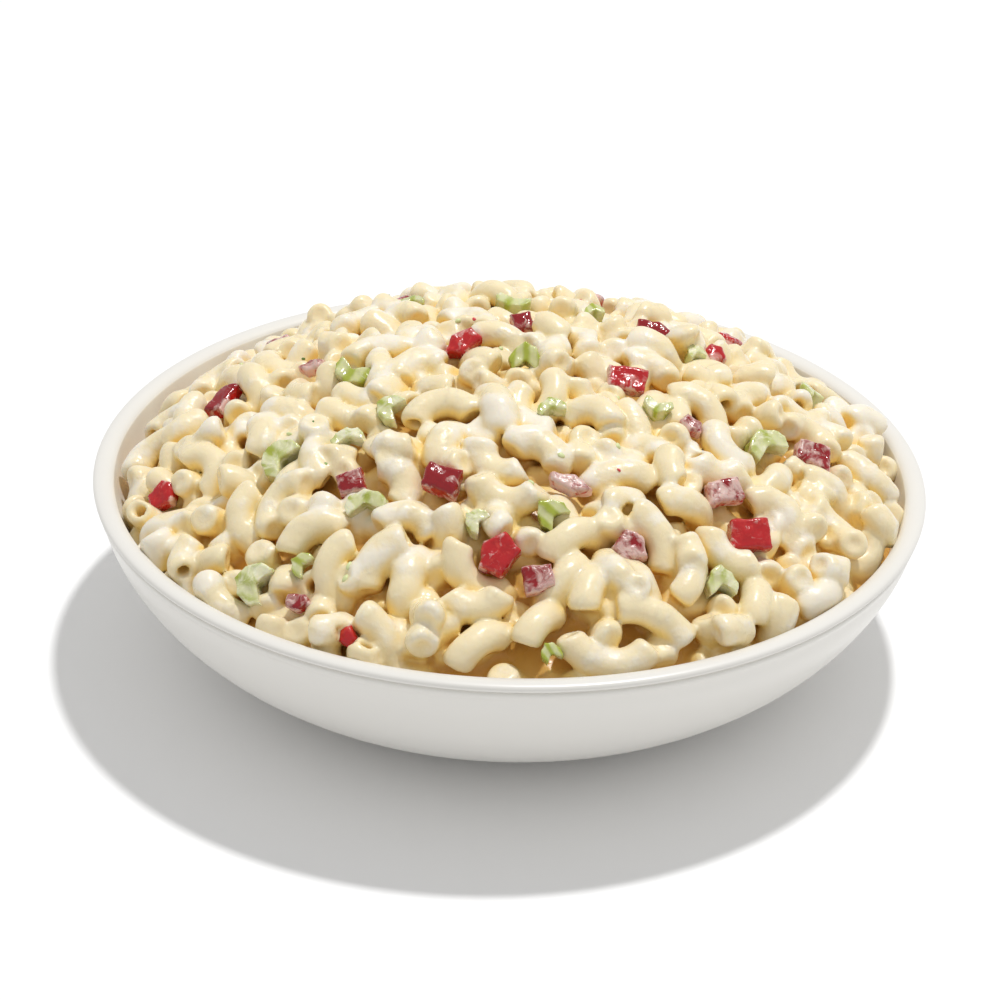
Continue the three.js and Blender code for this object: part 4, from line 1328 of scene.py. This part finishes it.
def celery_material(settings, milk):
    """Celery: green and pale strings along the stalk, watery cut faces, dressing clinging to it."""
    material, nodes, shader = new_material(
        "celery", Subsurface_Weight=0.3, Subsurface_Radius=(0.8, 1.0, 0.25),
        Subsurface_Scale=0.0018, Specular_IOR_Level=0.5
    )
    place = nodes.place()
    x, y, _ = local_place(nodes)
    uneven = nodes.times(nodes.cloud(place, 0.003, 2.0), 2.0)
    strings = nodes.math("SINE", nodes.plus(nodes.times(x, 7.0), uneven))
    strings = nodes.spread(strings, -0.8, 1.0, 0.35, 1.0)
    back = nodes.plus(y, nodes.times(nodes.attribute("tone"), 0.8))
    back = nodes.spread(nodes.plus(back, nodes.cloud(place, 0.004)), -0.6, 1.7, 0.1, 1.0)
    coat = nodes.attribute("coat")
    back = nodes.plus(back, nodes.spread(coat, 0.1, 0.3, 0.6, 0.0), clamp=True)
    base = nodes.mix(nodes.times(strings, back), settings.flesh, settings.rib)
    tint = (milk[0] * 0.95, milk[1], milk[2] * 0.9)
    film = nodes.add("ShaderNodeGroup", node_tree=dressing_film(), Place=place, Scale=240.0,
                     Coat=coat, Most=0.9, Sharp=4.5, Color=base, Film=tint).outputs
    finish_surface(nodes, shader, film["Color"], (film["Cover"], 0.0, 0.7, 0.14, 0.3))
    add_relief(nodes, shader, place, (380.0, 1500.0, 0.3), 0.0002, nodes.times(strings, 0.5))
    return material


def herb_material(settings):
    """Chopped herbs: dark green with paler edges."""
    material, nodes, shader = new_material("chopped_herbs", Specular_IOR_Level=0.5)
    place = nodes.place()
    light = [min(1.0, c * 2.4) for c in settings.herb]
    spots = nodes.spread(nodes.cloud(place, 0.0012), 0.35, 0.7)
    finish_surface(nodes, shader, nodes.mix(spots, settings.herb, light), (spots, 0.0, 1.0, 0.25, 0.45))
    add_relief(nodes, shader, place, (900.0, 2500.0, 0.4), 0.0001)
    return material


# ---- Operators ----
class SALAD_OT_stage(bpy.types.Operator):
    """Camera, lights and a plain pale floor"""

    bl_idname = "salad.stage"
    bl_label = "Stage"

    def execute(self, context):
        settings = context.scene.salad_stage
        self.add_camera(context, settings)
        self.add_lights(context, settings)
        mesh = bpy.data.meshes.new("floor")
        corners = [(x * FLOOR_REACH, y * FLOOR_REACH, 0) for x, y in ((-1, -1), (1, -1), (1, 1), (-1, 1))]
        mesh.from_pydata(corners, [], [(0, 1, 2, 3)])
        color = (*settings.floor, 1.0)
        material, _, _ = new_material("pale_floor", Base_Color=color, Roughness=0.9, Specular_IOR_Level=0.0)
        mesh.materials.append(material)
        new_object("floor", mesh)
        context.scene.view_settings.view_transform = "Standard"
        return {"FINISHED"}

    def add_camera(self, context, settings):
        data = bpy.data.cameras.new("camera")
        data.sensor_width = SENSOR
        data.lens = settings.lens
        data.shift_x, data.shift_y = CAMERA_SHIFT
        data.clip_start = 0.01
        camera = new_object("camera", data)
        back = Vector((0, -math.cos(settings.elevation), math.sin(settings.elevation)))
        right = Vector((1, 0, 0))
        turn = Matrix((right, back.cross(right), back)).transposed().to_4x4()
        turn = turn @ Matrix.Rotation(settings.roll, 4, "Z")
        middle = Vector((0, 0, RIM_HEIGHT * MM))
        camera.matrix_world = Matrix.Translation(middle + back * settings.distance) @ turn
        context.scene.camera = camera

    def add_lights(self, context, settings):
        key = bpy.data.lights.new("key", "AREA")
        key.energy = settings.key
        key.size = settings.key_size
        key.shape = "DISK"
        lamp = new_object("key", key)
        lamp.location = LAMP_PLACE
        lamp.rotation_euler = lamp.location.to_track_quat("Z", "Y").to_euler()
        world = bpy.data.worlds.new("room")
        context.scene.world = world
        world.use_nodes = True
        background = next(n for n in world.node_tree.nodes if n.type == "BACKGROUND")
        background.inputs["Color"].default_value = (1.0, 1.0, 1.0, 1.0)
        background.inputs["Strength"].default_value = settings.fill


class SALAD_OT_bowl(bpy.types.Operator):
    """The white bowl, with its rounded rim and the groove under it"""

    bl_idname = "salad.bowl"
    bl_label = "Bowl"

    def execute(self, context):
        settings = context.scene.salad_bowl
        points, faces = lathe(self.profile(), settings.sides)
        across, high = np.hypot(points[:, 0], points[:, 1]), points[:, 2]
        # Marks the inside of the bowl, where the glaze is painted lighter.
        inside = (high > WELL_HEIGHT - 0.1) & (across < wall_radius(high) + 0.3)
        values = {"inside": inside * 1.0}
        add_piece("bowl_glazed", points, faces, glaze_material(settings), "bowl", values)
        return {"FINISHED"}

    def profile(self):
        """The bowl's outline from the middle of its underside to the middle of its floor."""
        ring = FOOT_RADIUS - FOOT_RING
        foot = [(0, FOOT_RECESS), (ring - 3, FOOT_RECESS), (ring, FOOT_RECESS), (ring + 0.6, 0)]
        foot += [(ring + 2, 0), (FOOT_RADIUS - 2, 0), (FOOT_RADIUS, 0)]
        steps = np.linspace(LOWEST_STEP, 1, WALL_STEPS) ** 2
        outside = [
            (body_radius(z, FOOT_RADIUS, SHOULDER_RADIUS, 0, SHOULDER_HEIGHT), z)
            for z in steps * SHOULDER_HEIGHT
        ]
        rim = [(RIM_RADIUS - inwards, RIM_HEIGHT - down) for inwards, down in RIM_LINE]
        inside = [(wall_radius(z), z) for z in WELL_HEIGHT + (WALL_TOP - WELL_HEIGHT) * steps[::-1]]
        floor = [(WELL_RADIUS, WELL_HEIGHT), (WELL_RADIUS - 6, WELL_HEIGHT), (0, WELL_HEIGHT)]
        line = rounded(foot + outside + rim + inside + floor, 2)
        line[:, 0] = np.minimum(line[:, 0], RIM_RADIUS)
        line[:, 1] = np.clip(line[:, 1], 0, RIM_HEIGHT)
        return line


class SALAD_OT_macaroni(bpy.types.Operator):
    """The elbows of pasta in their thin coat, as one piece"""

    bl_idname = "salad.macaroni"
    bl_label = "Macaroni"

    def execute(self, context):
        coat_piece("macaroni", False)
        return {"FINISHED"}


class SALAD_OT_dressing(bpy.types.Operator):
    """The thicker dressing between the elbows"""

    bl_idname = "salad.dressing"
    bl_label = "Dressing"

    def execute(self, context):
        coat_piece("dressing", True)
        return {"FINISHED"}


class SALAD_OT_core(bpy.types.Operator):
    """The salad under the pasta that shows, down to the bowl's floor"""

    bl_idname = "salad.core"
    bl_label = "Core"

    def execute(self, context):
        side_rings, top_rings = CORE_RINGS
        heights = np.linspace(WELL_HEIGHT + GAP, RIM_HEIGHT - CORE_TOP, side_rings)
        under = [(0, WELL_HEIGHT + GAP)] + [(wall_radius(z) - CORE_GAP, z) for z in heights]
        top = [(r, 0) for r in np.linspace(under[-1][0] - 1, 0, top_rings)]
        points, faces = lathe(under + top, CORE_SIDES)
        on_top = points[:, 2] == 0
        points[on_top, 2] = mound_top(points[on_top, 0], points[on_top, 1]) - CORE_DEPTH
        material = bpy.data.materials["coated_pasta"]
        values = {key: np.full(len(points), value) for key, value in CORE_LOOKS.items()}
        add_piece("salad_core", points, faces, material, "macaroni_heap", values)
        return {"FINISHED"}


def dice_piece(node, row, flip, soft, material):
    """A diced piece made from its node's own solid: eased edges, a fine grain and uneven faces."""
    piece = new_object(f"{node}_dice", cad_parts[node].data.copy())
    ease = piece.modifiers.new("ease", "BEVEL")
    ease.width = DICE_EDGE * MM
    ease.segments = 2
    ease.limit_method = "ANGLE"
    grain = piece.modifiers.new("grain", "REMESH")
    grain.mode = "VOXEL"
    grain.voxel_size = DICE_GRAIN * MM
    smooth = piece.modifiers.new("smooth", "SMOOTH")
    smooth.iterations = soft
    graph = bpy.context.evaluated_depsgraph_get()
    mesh = bpy.data.meshes.new_from_object(piece.evaluated_get(graph))
    piece.modifiers.clear()
    count = len(mesh.vertices)
    places, normals = np.zeros((2, count * 3))
    mesh.vertices.foreach_get("co", places)
    mesh.vertices.foreach_get("normal", normals)
    places = places.reshape(-1, 3) / MM
    axes, middle = dice_pose(row)
    local = ((places - middle) @ axes.T) / (np.array(row[2:5]) / 2)
    local[:, 2] *= flip
    bumps = sum(
        waves(places, size, SEED + 7 + i) * height for i, (size, height) in enumerate(DICE_BUMPS)
    )
    places = places + normals.reshape(-1, 3) * bumps[:, None]
    mesh.vertices.foreach_set("co", (places * MM).ravel())
    tone = row[0] % TONE_SPAN / TONE_SPAN
    set_values(mesh, {"local": local, "coat": np.full(count, row[7]), "tone": np.full(count, tone)})
    mesh.name = piece.name
    mesh.update()
    piece.data = mesh
    dress(piece, material, node)


class SALAD_OT_pepper(bpy.types.Operator):
    """The pieces of diced red pepper"""

    bl_idname = "salad.pepper"
    bl_label = "Red pepper"

    def execute(self, context):
        scene = context.scene
        material = pepper_material(scene.salad_pepper, scene.salad_coat.milk)
        for i, row in enumerate(PEPPER):
            flip = -1 if i % 3 == 1 else 1
            dice_piece(f"pepper_{i + 1:02d}", row, flip, 1, material)
        return {"FINISHED"}


class SALAD_OT_celery(bpy.types.Operator):
    """The pieces of diced celery"""

    bl_idname = "salad.celery"
    bl_label = "Celery"

    def execute(self, context):
        scene = context.scene
        material = celery_material(scene.salad_celery, scene.salad_coat.milk)
        for i, row in enumerate(CELERY):
            dice_piece(f"celery_{i + 1:02d}", row, 1, 5, material)
        return {"FINISHED"}


def shown_surface():
    """The pasta and the dressing as one tree for finding the surface from above."""
    points, faces = [], []
    for name in ("macaroni", "dressing"):
        mesh = bpy.data.objects[name].data
        base = len(points)
        points += [v.co.copy() for v in mesh.vertices]
        faces += [[base + corner for corner in polygon.vertices] for polygon in mesh.polygons]
    return BVHTree.FromPolygons(points, faces)


def chip(draws, size):
    """Points and faces of a small uneven chip about its own middle."""
    sides = CHIP_SIDES
    angles = [2 * math.pi * (i + draws.between(-CHIP_TURN, CHIP_TURN)) / sides for i in range(sides)]
    rim = [(math.cos(a) * size[0] * draws.between(*CHIP_REACH), math.sin(a) * size[1]) for a in angles]
    points = [(x, y, size[2]) for x, y in rim]
    points += [(x * CHIP_UNDER, y * CHIP_UNDER, -size[2]) for x, y in rim]
    points += [(0, 0, size[2] * tip) for tip in CHIP_TIPS]
    top, bottom = 2 * sides, 2 * sides + 1
    faces = []
    for i in range(sides):
        j = (i + 1) % sides
        faces += [(i, sides + i, sides + j, j), (top, i, j), (bottom, sides + j, sides + i)]
    return np.array(points), faces


def open_place(draws, tree):
    """A random place on the salad that looks up."""
    for _ in range(PLACE_TRIES):
        x = draws.between(-FLECK_EDGE, FLECK_EDGE)
        y = draws.between(-FLECK_EDGE, FLECK_EDGE)
        if math.hypot(x, y) > FLECK_EDGE:
            continue
        start = Vector((x * MM, y * MM, RAY_HEIGHT * MM))
        spot, normal, _, _ = tree.ray_cast(start, Vector((0, 0, -1)))
        if spot is not None and normal.z > LEAST_UP:
            return spot, normal
    raise RuntimeError("no place on the salad looks up")


def scatter_chips(name, count, seed, low, high, material, slot, coat):
    """Chips that lie on the salad at random spots, half sunk in, as one piece."""
    draws = Draws(seed)
    tree = shown_surface()
    points, faces, base = [], [], 0
    for _ in range(count):
        spot, normal = open_place(draws, tree)
        size = [draws.between(a, b) for a, b in zip(low, high)]
        body, sides = chip(draws, size)
        turn = normal.to_track_quat("Z", "Y").to_matrix()
        turn = np.array(turn @ Matrix.Rotation(draws.between(0, 2 * math.pi), 3, "Z"))
        points.append(body @ turn.T + np.array(spot) / MM - np.array(normal) * size[2] * FLECK_SUNK)
        faces += [[base + corner for corner in side] for side in sides]
        base += len(body)
    points = np.concatenate(points)
    local = np.tile([0.0, 0.5, 0.0], (len(points), 1))
    coat, tone = np.full((2, len(points)), [[coat], [FLECK_TONE]])
    values = {"local": local, "coat": coat, "tone": tone}
    piece = add_piece(name, points, faces, material, None, values)
    soften = piece.modifiers.new("soften", "SUBSURF")
    soften.levels = 1
    soften.render_levels = 1


class SALAD_OT_flecks(bpy.types.Operator):
    """Herb flecks and small bits of celery and pepper on the salad"""

    bl_idname = "salad.flecks"
    bl_label = "Flecks"

    def execute(self, context):
        settings = context.scene.salad_flecks
        herb = herb_material(settings)
        celery = bpy.data.materials["celery"]
        pepper = bpy.data.materials["red_pepper"]
        # Name, number, smallest and largest size, material, slot and coat of each kind.
        kinds = (
            ("herb_flecks", settings.herbs, (0.3, 0.25, 0.1), (0.9, 0.6, 0.2), herb, "celery", 0),
            ("celery_bits", settings.bits, (0.8, 0.6, 0.4), (2.0, 1.4, 0.8), celery, "celery", 0.3),
            ("pepper_bits", PEPPER_BITS, (0.5, 0.4, 0.3), (1.5, 0.9, 0.5), pepper, "red_pepper", 0.2),
        )
        for i, (name, count, *rest) in enumerate(kinds):
            scatter_chips(name, count, SEED + 9 + i, *rest)
        return {"FINISHED"}


class SALAD_PT_panel(bpy.types.Panel):
    """Settings and steps of the salad"""

    bl_label = "Macaroni salad"
    bl_idname = "SALAD_PT_panel"
    bl_space_type = "VIEW_3D"
    bl_region_type = "UI"
    bl_category = "Salad"

    def draw(self, context):
        for name in SETTINGS:
            group = getattr(context.scene, name)
            box = self.layout.box()
            for key in group.__annotations__:
                box.prop(group, key)
        for step in STEPS:
            self.layout.operator(f"salad.{step}")


SETTINGS = {
    "salad_stage": StageSettings,
    "salad_bowl": BowlSettings,
    "salad_coat": CoatSettings,
    "salad_pepper": PepperSettings,
    "salad_celery": CelerySettings,
    "salad_flecks": FleckSettings,
}
OPERATORS = [
    SALAD_OT_stage,
    SALAD_OT_bowl,
    SALAD_OT_macaroni,
    SALAD_OT_dressing,
    SALAD_OT_core,
    SALAD_OT_pepper,
    SALAD_OT_celery,
    SALAD_OT_flecks,
]
STEPS = [operator.bl_idname.split(".")[1] for operator in OPERATORS]


def register():
    for name, group in SETTINGS.items():
        bpy.utils.register_class(group)
        setattr(bpy.types.Scene, name, PointerProperty(type=group))
    for kind in [*OPERATORS, SALAD_PT_panel]:
        bpy.utils.register_class(kind)


def unregister():
    for kind in [SALAD_PT_panel, *reversed(OPERATORS)]:
        bpy.utils.unregister_class(kind)
    for name, group in SETTINGS.items():
        delattr(bpy.types.Scene, name)
        bpy.utils.unregister_class(group)


def main():
    register()
    for step in STEPS:
        getattr(bpy.ops.salad, step)()


if __name__ == "__main__":
    main()
